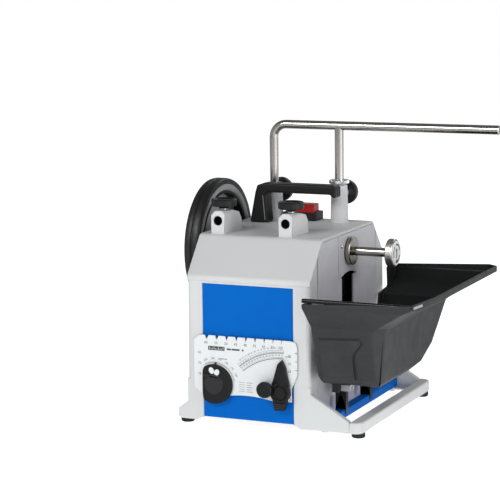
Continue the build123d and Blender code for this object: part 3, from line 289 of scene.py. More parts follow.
looks = {
    "cast_grey": painted("cast_grey_paint", (0.63, 0.645, 0.65), 0.46, 900, 0.00009),
    "panel_grey": painted("panel_grey_paint", (0.6, 0.6, 0.64), 0.42, 1500, 0.00004),
    "panel_blue": painted("panel_blue_paint", (0.0, 0.12, 0.5), 0.5, 1500, 0.00004, 0.15, 0.05),
    "black_plastic": moulded("black_plastic", (0.0075, 0.0075, 0.008), 0.42),
    "trough_plastic": moulded("trough_plastic", (0.03, 0.031, 0.034), 0.55, 1300, 0.00008, 0.3),
    "knob_plastic": moulded("knob_plastic", (0.009, 0.009, 0.01), 0.4, 2400, 0.00004),
    "rubber": rubbery("black_rubber", (0.01, 0.01, 0.01)),
    "tread_rubber": rubbery("tread_rubber", (0.009, 0.009, 0.0095), 0.42),
    "stainless": metal("stainless_ground", (0.6, 0.59, 0.55), 0.16),
    "zinc": metal("bright_zinc", (0.8, 0.83, 0.84), 0.22, (700, 700, 700)),
    "wheel_grey": painted("wheel_grey_cast", (0.33, 0.34, 0.345), 0.4, 700, 0.00008),
    "red_plastic": moulded("red_plastic", (0.6, 0.02, 0.018), 0.2, 2600, 0.00002, 0.1, 0.05),
    "gauge_white": painted("gauge_white_sheet", (0.74, 0.77, 0.78), 0.3, 2600, 0.00002, 0.1),
    "face_white": painted("nut_face_sheet", (0.88, 0.89, 0.9), 0.35, 2600, 0.00002, 0.1),
    "nylon": moulded("natural_nylon", (0.72, 0.71, 0.64), 0.5, 1600, 0.00003, 0.1, 0.1),
    "motor_iron": painted("motor_laminations", (0.05, 0.05, 0.052), 0.5, 500, 0.0001, 0.5),
    "motor_alloy": metal("die_cast_alloy", (0.4, 0.41, 0.42), 0.4, (500, 500, 500), 0.00004),
    "steel": metal("plain_steel", (0.45, 0.45, 0.46), 0.32, (60, 700, 700)),
}
flange_steel = turned("flange_turned", (0.4, 0.38, 0.34))
nut_steel = turned("nut_turned", (0.62, 0.6, 0.56), 0.28)
# A near-black paint that stands in for shade: painted shade inside the housing and the sleeve bores, and
# painted shadow lines at the dial's step and the trough's groove.
painted_shade = painted("painted_shade_dark", (0.012, 0.012, 0.013), 0.6, 700, 0.00006, 0.1)
# A darker copy of the trough plastic: painted shade inside the trough and under its far rim.
trough_painted_shade = moulded("trough_painted_shade", (0.007, 0.0075, 0.008), 0.5, 1300, 0.00008, 0.2)
print_ink = painted("print_ink", (0.05, 0.055, 0.06), 0.4, 2600, 0.00001, 0.05)
pale_ink = painted("pale_print_ink", (0.3, 0.32, 0.33), 0.4, 2600, 0.00001, 0.05)
# A pale grey used only as painted highlight: on the handle's leg corner and at the trough's rim end.
painted_highlight_plastic = moulded("painted_highlight_plastic", (0.35, 0.36, 0.37), 0.4, 1600, 0.00003, 0.1, 0.1)
# A lighter, satin black used as painted highlight on the dial's centre, step and thin arc and on the
# pointer's rings and ribs.
black_painted_highlight = moulded("black_painted_highlight", (0.022, 0.022, 0.024), 0.36, 2200, 0.00004, 0.6)
gloss_black = moulded("gloss_black", (0.005, 0.005, 0.0055), 0.25, 2600, 0.00002, 0.4)
for node, obj in nodes.items():
    obj.data.materials.clear()
    obj.data.materials.append(looks[slot_of[node]])


# ---------------------------------------------------------------- mesh tools
def new_piece(name, mesh, body, slot, stands_for=()):
    """A finished mesh as a piece that rides on a body and may stand for CAD nodes."""
    piece = bpy.data.objects.new(name, mesh)
    bpy.context.scene.collection.objects.link(piece)
    if not mesh.materials:
        mesh.materials.append(looks[slot])
    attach(piece, body)
    if stands_for:
        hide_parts(*stands_for)


def finish_node(node, mesh):
    """A mesh that stands for one CAD node."""
    new_piece(node + "_finished", mesh, body_of[node], slot_of[node], (node,))


def add_detail(name, mesh, node):
    """A mesh that belongs to a CAD node's body and stands for nothing."""
    new_piece(name, mesh, body_of[node], slot_of[node])


def evaluated(carrier):
    """The carrier's mesh with its modifiers applied."""
    graph = bpy.context.evaluated_depsgraph_get()
    mesh = bpy.data.meshes.new_from_object(carrier.evaluated_get(graph))
    carrier.modifiers.clear()
    return mesh


def baked(mesh, bevel=0.0, segments=3, sharp=40, weighted=False):
    """The mesh with its edges rounded by bevel millimetres and its normals weighted by area."""
    carrier = bpy.data.objects.new("carrier", mesh)
    bpy.context.scene.collection.objects.link(carrier)
    mesh.shade_smooth()
    if bevel:
        rounding = carrier.modifiers.new("rounding", "BEVEL")
        rounding.width = bevel / 1000
        rounding.segments = segments
        rounding.limit_method = "WEIGHT" if weighted else "ANGLE"
        rounding.angle_limit = math.radians(35)
        rounding.use_clamp_overlap = not weighted
        carrier.data = evaluated(carrier)
    carrier.data.shade_smooth()
    carrier.data.set_sharp_from_angle(angle=math.radians(sharp))
    carrier.modifiers.new("weights", "WEIGHTED_NORMAL").keep_sharp = True
    result = evaluated(carrier)
    bpy.data.objects.remove(carrier)
    return result


def merged(node):
    """A copy of a CAD node's mesh with its flat faces whole, apart from those that face left or right."""
    work = bmesh.new()
    work.from_mesh(nodes[node].data)
    bmesh.ops.remove_doubles(work, verts=work.verts, dist=0.00001)
    flat = [edge for edge in work.edges if all(abs(face.normal.x) < 0.9 for face in edge.link_faces)]
    bmesh.ops.dissolve_limit(work, angle_limit=math.radians(0.6), verts=[], edges=flat)
    return work


def from_work(work, name):
    """The worked mesh as mesh data."""
    mesh = bpy.data.meshes.new(name)
    work.normal_update()
    work.to_mesh(mesh)
    work.free()
    return mesh


def paint_inside(mesh, node, inside, finish=None):
    """Gives the faces whose middle and normal pass the test a dark second material, a painted shade."""
    mesh.materials.clear()
    mesh.materials.append(looks[slot_of[node]])
    mesh.materials.append(finish or painted_shade)
    for polygon in mesh.polygons:
        polygon.material_index = int(inside(from_housing(polygon.center), polygon.normal))


def fading(distance):
    """1 within 30 mm of a face, and 0 from 60 mm on."""
    return max(0.0, min(1.0, (60 - distance) / 30))


def curve_corners(work):
    """Bends the outer strips of a front or rear face gently towards the side walls."""
    bmesh.ops.triangulate(work, faces=work.faces[:])
    width = half_width - bend_start
    for side in (-1, 1):
        for step in range(bend_strips):
            x = side * (bend_start + width * step / bend_strips)
            geometry = work.verts[:] + work.edges[:] + work.faces[:]
            bmesh.ops.bisect_plane(work, geom=geometry, plane_co=at(x, 0, 0), plane_no=(1, 0, 0),
                                   dist=0.000001)
    rear = local_box("top_casting")[1].y
    for vert in work.verts:
        place = from_housing(vert.co)
        reach = (abs(place.x) - bend_start) / width
        if 0 < reach <= 1.01 and place.z > bend_foot:
            side_bend = fading(place.y) - fading(rear - place.y)
            vert.co.y += bend_depth * reach * reach * side_bend / 1000


def soften(node, bevel, segments=3, angle=35, factor=None, inside=None, finish=None, bent=False):
    """A CAD node's shape with its edges rounded as they are on the real piece.

    factor(first, second) gives each edge's share of the bevel from its two ends."""
    work = merged(node)
    if bent:
        curve_corners(work)
    weights = work.edges.layers.float.new("bevel_weight_edge")
    for edge in work.edges:
        if len(edge.link_faces) == 2 and edge.calc_face_angle() > math.radians(angle):
            first, second = (from_housing(vert.co) for vert in edge.verts)
            edge[weights] = factor(first, second) if factor else 1.0
    mesh = baked(from_work(work, node + "_finished"), bevel, segments, weighted=True)
    mesh.materials.clear()
    # Faces that pass the inside test get a dark material as painted shade.
    if inside:
        paint_inside(mesh, node, inside, finish)
    finish_node(node, mesh)


def lathe(profile, centre, axis="x", steps=96, flutes=0, flute_depth=0.0, closed=False):
    """A turned shape: the profile's (radius, distance along the axis) points swept about an axis.

    A closed profile joins its last point to its first. Flutes are cut round everything but the axis."""
    work = bmesh.new()
    rings = []
    for index in range(steps):
        turn = 2 * math.pi * index / steps
        cut = flute_depth * (0.5 - 0.5 * math.cos(flutes * turn)) if flutes else 0.0
        ring = []
        for radius, along in profile:
            reach = radius - cut if radius > 1.0 else radius
            around = (reach * math.cos(turn), reach * math.sin(turn))
            place = {"x": (along, *around), "y": (around[1], along, around[0]), "z": (*around, along)}
            ring.append(work.verts.new(at(*(a + b for a, b in zip(centre, place[axis])))))
        rings.append(ring)
    count = len(profile)
    for index in range(steps):
        first, second = rings[index], rings[(index + 1) % steps]
        for row in range(count if closed else count - 1):
            up = (row + 1) % count
            work.faces.new((first[row], first[up], second[up], second[row]))
    bmesh.ops.remove_doubles(work, verts=work.verts, dist=0.000002)
    bmesh.ops.recalc_face_normals(work, faces=work.faces)
    return baked(from_work(work, "turned"), sharp=32)


def curved(start, corner, end, t):
    """The point at t on the curve from start to end that the corner draws out."""
    return tuple(start * (1 - t) ** 2 + corner * 2 * t * (1 - t) + end * t ** 2)


def rounded(profile, radius, steps=4):
    """A closed profile with its corners rounded."""
    result = []
    count = len(profile)
    for index, corner in enumerate(profile):
        here = Vector(corner)
        before = Vector(profile[index - 1]) - here
        after = Vector(profile[(index + 1) % count]) - here
        reach = min(radius, 0.45 * before.length, 0.45 * after.length)
        start = here + before.normalized() * reach
        end = here + after.normalized() * reach
        result += [curved(start, here, end, step / steps) for step in range(steps + 1)]
    return result


def slab(outline, place, depth, bevel=0.3, segments=2):
    """A plate with an outline of (u, v) points: place(u, v, w) gives each point, for w from 0 to depth."""
    work = bmesh.new()
    low = [work.verts.new(place(u, v, 0)) for u, v in outline]
    high = [work.verts.new(place(u, v, depth)) for u, v in outline]
    count = len(outline)
    work.faces.new(low)
    work.faces.new(high)
    for index in range(count):
        after = (index + 1) % count
        work.faces.new((low[index], low[after], high[after], high[index]))
    bmesh.ops.recalc_face_normals(work, faces=work.faces)
    return baked(from_work(work, "plate"), bevel, segments)


def join(meshes, name):
    """Several meshes as one, each with its own material."""
    work = bmesh.new()
    materials = []
    for mesh in meshes:
        first = len(work.faces)
        work.from_mesh(mesh)
        work.faces.ensure_lookup_table()
        offset = len(materials)
        materials += list(mesh.materials)
        for face in work.faces[first:]:
            face.material_index += offset
    result = bpy.data.meshes.new(name)
    work.to_mesh(result)
    work.free()
    for material in materials:
        result.materials.append(material)
    result.shade_smooth()
    result.set_sharp_from_angle(angle=math.radians(35))
    return result


def made_of(mesh, material):
    """The mesh with one material."""
    mesh.materials.clear()
    mesh.materials.append(material)
    return mesh


def on_front(face_y):
    """Places (x, z) points in a plane that faces the front, w millimetres proud of it."""
    return lambda u, v, w: at(u, face_y - w, v)


def polar(centre, radius, angle):
    """The point at an angle in degrees on a circle."""
    turn = math.radians(angle)
    return centre[0] + radius * math.cos(turn), centre[1] + radius * math.sin(turn)


def arc_points(centre, radius, start, end, steps=24):
    """Points along an arc, with angles in degrees."""
    return [polar(centre, radius, start + (end - start) * step / steps) for step in range(steps + 1)]


def ellipse_points(centre, half_u, half_v, turn=0, steps=24):
    """Points round an ellipse that is turned by an angle in degrees."""
    lean = math.radians(turn)
    points = []
    for index in range(steps):
        angle = 2 * math.pi * index / steps
        u, v = half_u * math.cos(angle), half_v * math.sin(angle)
        points.append((centre[0] + u * math.cos(lean) - v * math.sin(lean),
                       centre[1] + u * math.sin(lean) + v * math.cos(lean)))
    return points


def rectangle(left, right, bottom, top):
    return [(left, bottom), (right, bottom), (right, top), (left, top)]


def stripe(points, width, place, depth=print_depth):
    """A printed line of the given width along the points."""
    sides = []
    for sign in (1, -1):
        side = []
        for index, point in enumerate(points):
            before = Vector(points[max(index - 1, 0)])
            after = Vector(points[min(index + 1, len(points) - 1)])
            along = (after - before).normalized()
            side.append(tuple(Vector(point) + Vector((-along.y, along.x)) * sign * width / 2))
        sides.append(side)
    work = bmesh.new()
    left, right = ([work.verts.new(place(u, v, depth)) for u, v in side] for side in sides)
    for index in range(len(points) - 1):
        work.faces.new((left[index], right[index], right[index + 1], left[index + 1]))
    return from_work(work, "stripe")


def number(text, u, v, size, place, turn=0.0):
    """A printed number, centred on a point of the plane."""
    curve = bpy.data.curves.new("number", "FONT")
    curve.body = str(text)
    curve.size = size
    curve.align_x = "CENTER"
    curve.align_y = "CENTER"
    carrier = bpy.data.objects.new("number", curve)
    bpy.context.scene.collection.objects.link(carrier)
    mesh = evaluated(carrier)
    bpy.data.objects.remove(carrier)
    lean = math.radians(turn)
    for vert in mesh.vertices:
        across = vert.co.x * math.cos(lean) - vert.co.y * math.sin(lean)
        rise = vert.co.x * math.sin(lean) + vert.co.y * math.cos(lean)
        vert.co = place(u + across, v + rise, print_depth)
    return mesh


def printed(outline, place):
    """A flat printed patch."""
    work = bmesh.new()
    work.faces.new([work.verts.new(place(u, v, print_depth)) for u, v in outline])
    return from_work(work, "patch")


# ---------------------------------------------------------------- housing
def frame_factor(first, second):
    """Rounds the frame's long edges, and leaves the seam and the short edges at the corner ledge."""
    middle_z = (first.z + second.z) / 2
    ledge = 55 < middle_z < 66 and abs(first.z - second.z) < 1
    return 0.0 if (first - second).length < 3 or ledge or middle_z > seam_z - 1 else 1.0


def hood_factor(first, second):
    """A wide round along the hood's ridges and knees, none at its lower seam, and a small one elsewhere."""
    middle = (first + second) / 2
    if middle.z < seam_z + 1:
        return 0.0
    level = abs(first.z - second.z) < 0.5 and abs(first.y - second.y) < 1 and abs(first.x - second.x) > 3
    outer = middle.y < 0.5 or middle.y > housing_depth - 0.5 or abs(middle.z - roof_z) < 0.5
    roof = roof_front < middle.y < housing_depth - roof_front
    return 1.0 if level and outer and not roof else 0.28


def behind_front(middle, normal):
    """Faces of the front panel that look into the housing."""
    return normal.y > 0.5


def before_rear(middle, normal):
    """Faces of the rear panel that look into the housing."""
    return normal.y < -0.5


def inward(side):
    """Faces of a side wall that look into the housing."""
    return lambda middle, normal: normal.x * side < -0.5


def under_hood(middle, normal):
    """Faces that look at the housing's middle from under the hood, and the walls of the sleeve bores: the
    faces that get a painted shade.
    """
    core = Vector((0, housing_depth / 2, 150))
    near_bore = any(math.hypot(middle.x - x, middle.z - bore_z) < 7 for x in bore_places)
    shade_zone = abs(middle.x) < half_width - 0.5 and 2 < middle.y < housing_depth - 2 and middle.z < roof_z - 3.5
    return shade_zone and normal.dot(middle - core) < 0 or near_bore and 47 < middle.y < 99


def make_housing():
    """The hood, the frames, the walls and panels, and the small fixed pieces."""
    # Faces under the hood and in the sleeve bores get a painted shade.
    soften("top_casting", 3.5, 4, factor=hood_factor, inside=under_hood, bent=True)
    soften("front_frame", 1.4, factor=frame_factor, bent=True)
    soften("rear_frame", 1.4, factor=frame_factor, bent=True)
    # The inner faces of the walls and panels get a painted shade.
    for node, inside in (("side_panel_left", inward(-1)), ("side_panel_right", inward(1)),
                         ("front_panel", behind_front), ("rear_panel", before_rear)):
        mesh = nodes[node].data.copy()
        paint_inside(mesh, node, inside)
        finish_node(node, mesh)
    for node, bevel in (("bearing_cover", 0.4), ("base_rail", 1.2), ("base_strut", 1.0), ("trough_arms", 0.4),
                        ("trough_forks", 0.5), ("cord_gland", 0.6), ("switch_housing", 0.8)):
        soften(node, bevel)


make_housing()


# ---------------------------------------------------------------- wheel and arbor
def make_wheel():
    """The honing wheel: a rubber tread in two bands on a rimmed grey body."""
    low, high = local_box("honing_wheel_tread")
    left, right = low.x, high.x
    outer = (high.z - low.z) / 2
    inner = outer - 8.0
    centre = centre_of(low, high, x=0)
    middle = (left + right) / 2
    tread = [(inner, left + 0.3), (outer - 1.6, left), (outer - 0.5, left + 2.6), (outer, left + 5.6),
             (outer, middle - 1.3), (outer - 1.5, middle - 0.8), (outer - 1.5, middle + 0.8),
             (outer, middle + 1.3), (outer, right - 5.6), (outer - 0.5, right - 2.6), (outer - 1.6, right),
             (inner, right - 0.3)]
    finish_node("honing_wheel_tread", lathe(rounded(tread, 0.7), centre, steps=160, closed=True))
    liner = local_box("friction_liner")
    seat = (liner[1].z - liner[0].z) / 2 + 0.1
    recess = [(inner, left + 0.4), (inner - 1.5, left), (seat + 4, left + 0.2), (seat + 2.5, left + 1.6),
              (24, left + 2.4), (22, left + 0.6), (6.6, left + 0.4), (6.6, right - 0.4), (20, right - 0.6),
              (22, right - 12.6), (seat - 1, right - 12.9), (seat, right - 12.0), (seat, right - 2.6),
              (seat + 2.8, right - 0.4), (inner - 1.5, right), (inner, right - 0.4)]
    finish_node("honing_wheel_body", lathe(rounded(recess, 0.9), centre, steps=160, closed=True))
    low, high = local_box("honing_wheel_nut")
    radius = (high.z - low.z) / 2
    nut = [(6.6, low.x), (radius - 1.5, low.x), (radius, low.x + 1.5), (radius, high.x - 0.6), (6.6, high.x)]
    fluted = lathe(rounded(nut, 0.8), centre, flutes=18, flute_depth=1.4, closed=True)
    finish_node("honing_wheel_nut", fluted)


def make_flange():
    """The turned flange that a stone rests against."""
    low, high = local_box("flange_washer")
    radius = (high.z - low.z) / 2
    flange = [(6.5, low.x), (radius, low.x), (radius, high.x - 1.0), (radius - 1.0, high.x), (6.5, high.x)]
    turned_flange = lathe(rounded(flange, 0.4), centre_of(low, high, x=0), closed=True)
    finish_node("flange_washer", made_of(turned_flange, flange_steel))


def make_quick_nut():
    """The round nut at the arbor's end."""
    low, high = local_box("quick_nut")
    radius = (high.z - low.z) / 2
    nut = [(5.6, low.x), (radius - 7, low.x), (radius - 6.2, low.x + 0.5), (radius - 1.2, low.x + 0.6),
           (radius, low.x + 1.8), (radius, high.x - 1.4), (radius - 1.2, high.x - 0.1),
           (radius - 2.0, high.x), (radius - 2.3, high.x - 0.5), (5.6, high.x - 0.5)]
    fluted = lathe(rounded(nut, 0.5), centre_of(low, high, x=0), flutes=72, flute_depth=0.12, closed=True)
    finish_node("quick_nut", made_of(fluted, nut_steel))


def turn_arrow(start, end, plane):
    """A printed arrow round the nut's face: an arc and its head."""
    points = arc_points((0, 0), 11.2, start, end, 16)
    tip = Vector(points[-1])
    along = (tip - Vector(points[-2])).normalized()
    aside = Vector((-along.y, along.x)) * 2.2
    head = [tuple(point) for point in (tip + aside, tip - aside, tip + along * 3.2)]
    return [stripe(points, 2.3, plane), slab(head, plane, print_depth, bevel=0)]


def make_nut_face():
    """The pale face on the nut, with arrows round it and a straight one in the middle."""
    low, high = local_box("quick_nut_face")
    centre = centre_of(low, high, x=0)
    radius = (high.z - low.z) / 2
    face = [(0, low.x), (radius, low.x), (radius, high.x - 0.3), (radius - 0.3, high.x), (0, high.x)]
    finish_node("quick_nut_face", lathe(face, centre))

    def plane(u, v, w):
        return at(high.x + w, centre[1] + u, centre[2] + v)

    marks = []
    for start, end in ((100, 25), (205, 140), (-20, -95)):
        marks += turn_arrow(start, end, plane)
    marks.append(slab(rectangle(-1.6, 1.6, -6.5, 2.5), plane, print_depth, bevel=0))
    marks.append(slab([(-3.8, 2.5), (3.8, 2.5), (0, 7)], plane, print_depth, bevel=0))
    marks.append(printed(ellipse_points((0, -10.5), 2.2, 2.2, steps=32), plane))
    mesh = join([made_of(mark, print_ink) for mark in marks], "nut_print")
    add_detail("quick_nut_print", mesh, "quick_nut_face")


def make_adjust_nut():
    """The knurled adjustment nut on the right leg."""
    low, high = local_box("micro_adjust_nut")
    radius = (high.x - low.x) / 2
    nut = [(6.1, low.z), (radius - 3.2, low.z), (radius - 2.2, low.z + 1.5), (radius - 0.8, low.z + 2.0),
           (radius, low.z + 2.8), (radius, high.z - 0.8), (radius - 0.8, high.z), (6.1, high.z)]
    centre = centre_of(low, high, z=0)
    finish_node("micro_adjust_nut", lathe(rounded(nut, 0.3), centre, "z", 240, 60, 0.45, closed=True))


make_wheel()
make_flange()
make_quick_nut()
make_nut_face()
make_adjust_nut()


# ---------------------------------------------------------------- clamp knobs
def make_knob(node, axis, neck_length):
    """A clamp knob that points along its axis: a dished plastic head, a neck and a short steel collar."""
    low, high = local_box(node)
    centre = centre_of(low, high, **{axis: 0})
    top, foot = getattr(high, axis), getattr(low, axis)
    radius = (high.x - low.x) / 2
    neck = top - neck_length
    head = [(0, top - 1.5), (3.2, top - 1.4), (4.0, top - 2.1), (radius - 4.4, top - 2.0),
            (radius - 3.2, top - 0.4), (radius - 2.4, top), (radius - 1.0, top - 0.3), (radius, top - 1.4),
            (radius, top - 8.3), (radius - 1.1, top - 9.5), (7.0, top - 9.5), (6.8, neck), (3.0, neck - 0.1)]
    stud = [(3.0, neck), (3.0, foot), (0, foot)]
    collar = [(5.4, neck), (5.4, neck - 0.8), (3.0, neck - 0.9)]
    parts = [made_of(lathe(head, centre, axis, 144, 24, 0.14), looks["knob_plastic"])]
    parts += [made_of(lathe(part, centre, axis, 48), looks["zinc"]) for part in (stud, collar)]
    finish_node(node, join(parts, node + "_finished"))


for side in ("left", "right"):
    make_knob("clamp_knob_front_" + side, "z", 12.7)
    make_knob("clamp_knob_rear_" + side, "y", 16.0)


# ---------------------------------------------------------------- handle and switch
def handle_factor(first, second):
    """Rounds the handle's long edges only."""
    return 1.0 if (first - second).length > 4 else 0.0


def make_handle_edge():
    """A painted highlight: a pale stripe down the front corner of the handle's left leg, where light catches
    the edge.
    """
    plane = on_front(local_box("carry_handle")[0].y)
    line = stripe([(-43.6, 246.0), (-46.6, 279.0)], 0.7, plane, 0.05)
    add_detail("carry_handle_highlight", made_of(line, painted_highlight_plastic), "carry_handle")


soften("carry_handle", 2.6, 4, 30, factor=handle_factor)
make_handle_edge()
soften("switch_rocker", 0.9, 3, 30)


# ---------------------------------------------------------------- angle gauge
def notch_numbers(low, high, plane):
    """The numbers below the notches and at both ends of the plate."""
    marks = []
    for step in range(9):
        x = low.x + 16.8 + 14.4 * step - 0.175 * step * step
        marks.append(number(60 - 5 * step, x, high.z - 9.6, 4.8, plane))
    for step in range(3):
        marks.append(number(65 + 5 * step, low.x + 7.5, high.z - 23 - 14 * step, 4.4, plane))
        marks.append(number(20 - 5 * step, high.x - 10.5, high.z - 19 - 10 * step, 4.4, plane))
    return marks


def pointer_scale(plane):
    """The large arc over the pointer, with its ticks and numbers."""
    marks = []
    for radius, width in ((80.8, 0.8), (82.4, 0.3), (87.8, 0.5), (91.6, 0.25)):
        marks.append(stripe(arc_points(scale_centre, radius, 88, 131, 48), width, plane))
    for step in range(87):
        outer = 89.6 if step % 5 else 91.4
        ends = [polar(scale_centre, reach, 88 + step / 2) for reach in (87.8, outer)]
        marks.append(stripe(ends, 0.3, plane))
    for step in range(15):
        angle = 89.5 + 2.9 * step
        marks.append(number(5 + 5 * step, *polar(scale_centre, 85.1, angle), 3.3, plane, angle - 90))
        if step < 13:
            place = polar(scale_centre, 94.6, angle + 3)
            marks.append(number(10 + 10 * step, *place, 2.6, plane, angle - 90))
    return marks


def dial_scale(plane):
    """The ticks and numbers round the dial."""
    marks = []
    for step in range(6):
        angle = 112 - 17.5 * step
        marks.append(number(250 - 20 * step, *polar(dial_centre, 33.0, angle), 3.6, plane, angle - 90))
    for step in range(27):
        ends = [polar(dial_centre, reach, 12 + 4 * step) for reach in (27.6, 29.2)]
        marks.append(stripe(ends, 0.35, plane))
    marks.append(stripe(arc_points(dial_centre, 27.6, 8, 118, 40), 0.3, plane))
    return marks


def make_gauge_print():
    """The scales on the gauge's plate, a dark bar with pale ticks, and short lines for its small print."""
    low, high = local_box("gauge_plate")
    plane = on_front(low.y)
    dark = notch_numbers(low, high, plane) + pointer_scale(plane) + dial_scale(plane)
    pale, light = [], []
    for row in range(5):
        z = low.z + 10.5 + 2.9 * row
        pale.append(stripe([(-11, z), (-3, z)], 0.6, plane))
        pale.append(stripe([(-0.5, z), (8 - (row % 2) * 2, z)], 0.8, plane))
    bar_z = high.z - 16.4
    dark.append(slab(rectangle(-53.5, -30.5, bar_z - 2.6, bar_z + 2.6), plane, print_depth, bevel=0))
    for step in range(10):
        x = -51.5 + step * 2.1
        top = bar_z + (0.3 if step % 3 else 1.7)
        light.append(stripe([(x, bar_z - 1.7), (x, top)], 0.6, plane, 2 * print_depth))
    for start, end in ((-27.5, -21.5), (-20.5, -9.5), (-6.5, -4.0)):
        dark.append(stripe([(start, bar_z), (end, bar_z)], 2.2, plane))
    for x, z, length in ((-38, 89.5, 11), (53, 98.8, 8)):
        pale.append(stripe([(x, z), (x + length, z)], 1.2, plane))
    marks = []
    for group, material in ((dark, print_ink), (pale, pale_ink), (light, looks["gauge_white"])):
        marks += [made_of(mark, material) for mark in group]
    add_detail("gauge_print", join(marks, "gauge_print"), "gauge_plate")


def dial_outline():
    """A disc with one flat side, whose two corners are rounded."""
    flat_x = dial_centre[0] - 16.0
    edge = arc_points(dial_centre, 25.7, -116, 116, 64)
    start = Vector(edge[-1])
    corner = Vector((flat_x, dial_centre[1] + 21.5))
    end = Vector((flat_x, dial_centre[1] + 11))
    upper = [curved(start, corner, end, step / 4) for step in range(1, 5)]
    lower = [(u, 2 * dial_centre[1] - v) for u, v in reversed(upper)]
    return edge + upper + lower


def make_dial():
    """The dial: its plate, a nib, a raised round centre, a step and two pale windows; the centre, the step
    and a thin arc are a lighter black as painted highlight, and a dark stripe at the step's lower edge is a
    painted shadow.
    """
    low, high = local_box("gauge_dial")
    face = low.y
    plane = on_front(high.y)
    depth = high.y - low.y
    plate = slab(dial_outline(), plane, depth - 0.9, 0.9, 3)
    nib = slab([(-46.5, 79.5), (-39.5, 79.3), (-43.0, 85.2)], plane, depth - 1.4, 0.4)
    hub_profile = [(0, face), (11.3, face), (12.6, face + 0.35), (13.0, face + 1.0)]
    hub = lathe(hub_profile, (dial_centre[0], 0, dial_centre[1]), "y", 64)
    front = on_front(face + 0.9)
    # A thin lighter arc inside the dial's edge: a painted highlight.
    rim = stripe(arc_points(dial_centre, 23.4, -112, 60, 32), 0.5, front, 0.1)
    step_outline = rounded([(-60.5, 66.8), (-36.5, 63.8), (-36.0, 65.4), (-60.5, 69.4)], 0.8)
    step = slab(step_outline, front, 0.9, 0.3)
    # A dark stripe along the step's lower edge: a painted shadow.
    step_shadow = stripe([(-60.5, 66.4), (-48, 64.8), (-38, 63.4)], 1.1, front, 0.14)
    windows = [slab(ellipse_points(centre, 3.5, 4.4, turn), front, 0.3, 0.1)
               for centre, turn in (((-47.9, 74.0), 25), ((-40.6, 72.0), -30))]
    parts = [made_of(part, looks["black_plastic"]) for part in (plate, nib)]
    parts += [made_of(part, black_painted_highlight) for part in (hub, step, rim)]
    parts += [made_of(step_shadow, painted_shade)] + [made_of(window, looks["gauge_white"]) for window in windows]
    finish_node("gauge_dial", join(parts, "gauge_dial_finished"))


def make_spear(back_y):
    """The ridged spear of the pointer, standing on the plane at back_y."""
    x, z = pointer_boss
    work = bmesh.new()
    corners = {"left": (-13.5, -2.2, 9), "right": (12.0, -2.2, 9), "crest": (1.5, -7.6, 9),
               "tip": (2, -3.3, 41), "low_left": (-13.5, 0, 9), "low_right": (12.0, 0, 9),
               "low_tip": (2, 0, 41)}
    verts = {name: work.verts.new(at(x + u, back_y + w, z + v)) for name, (u, w, v) in corners.items()}
    for names in (("left", "crest", "tip"), ("crest", "right", "tip"), ("left", "tip", "low_tip", "low_left"),
                  ("right", "low_right", "low_tip", "tip"),
                  ("left", "low_left", "low_right", "right", "crest"), ("low_left", "low_tip", "low_right")):
        work.faces.new([verts[name] for name in names])
    bmesh.ops.recalc_face_normals(work, faces=work.faces)
    return baked(from_work(work, "ridge"), 0.5, 2)


def tail_rib(row, face_y):
    """One of the grip ribs across the pointer's tail, each a little narrower than the one above."""
    x, z = pointer_boss
    top = z - 14.3 - 2.4 * row
    left = x - 8.6 + 0.2 * row
    right = x + 6.9 - 0.7 * row
    outline = [(left + 0.1, top - 1.2), (right + 0.1, top - 1.2), (right - 0.1, top), (left - 0.1, top)]
    return slab(outline, on_front(face_y), 0.9, 0.25)


def make_pointer():
    """The pointer with a ridge down its spear, rings at its boss and ribs on its tail; the rings and ribs are
    a lighter black as painted highlight.
    """
    soften("gauge_pointer", 0.8, 3, 30)
    low, high = local_box("gauge_pointer")
    face = low.y
    boss = (pointer_boss[0], 0, pointer_boss[1])
    inner = [(9.6, face + 0.3), (9.4, face), (8.4, face), (8.1, face + 0.5)]
    outer = [(13.0, face + 4.0), (12.8, face + 3.2), (11.9, face + 2.8), (11.6, face + 4.0)]
    relief = [lathe(profile, boss, "y", 64) for profile in (inner, outer)]
    relief += [tail_rib(row, high.y - 7.0) for row in range(3)]
    parts = [made_of(make_spear(high.y - 2.0), looks["black_plastic"])]
    # The rings and ribs take the lighter black as painted highlight.
    parts += [made_of(part, black_painted_highlight) for part in relief]
    add_detail("gauge_pointer_relief", join(parts, "gauge_pointer_relief"), "gauge_pointer")


def make_gauge_knob():
    """The small knurled knob beside the pointer."""
    low, high = local_box("gauge_knob")
    face = low.y
    radius = (high.x - low.x) / 2
    knob = [(0, face + 0.5), (radius - 2.6, face + 0.4), (radius - 2.0, face), (radius - 0.9, face + 0.2),
            (radius, face + 1.2), (radius, face + 6.4), (radius - 0.8, face + 7.2), (4.0, face + 7.2),
            (4.0, high.y), (0, high.y)]
    finish_node("gauge_knob", lathe(knob, centre_of(low, high, y=0), "y", 120, 30, 0.35))


soften("gauge_plate", 0.3)
make_gauge_print()
make_dial()
make_pointer()
make_gauge_knob()


# ---------------------------------------------------------------- water trough
def trough_factor(first, second):
    """A wide round at the near corners, and a small one on the other edges."""
    near_corner = abs(first.z - second.z) > 40 and (first.y + second.y) / 2 < 40
    return 1.0 if near_corner else 0.35


def in_tank(middle, normal):
    """Faces that look into the trough, and the underside of its far rim, which get a painted shade."""
    tank = Vector((130, 110, 150))
    wall = normal.dot(tank - middle) > 0 and middle.x > 90 and middle.z < 179.5
    return wall or 226 < middle.x < 236 and middle.y > 88 and middle.z < 179


def near_wall(u, v, w):
    """Places (x, z) points on the trough's leaning near wall, w millimetres proud of it."""
    return at(u, -8 + (140 - v) * 7 / 86 - w * 0.997, v)


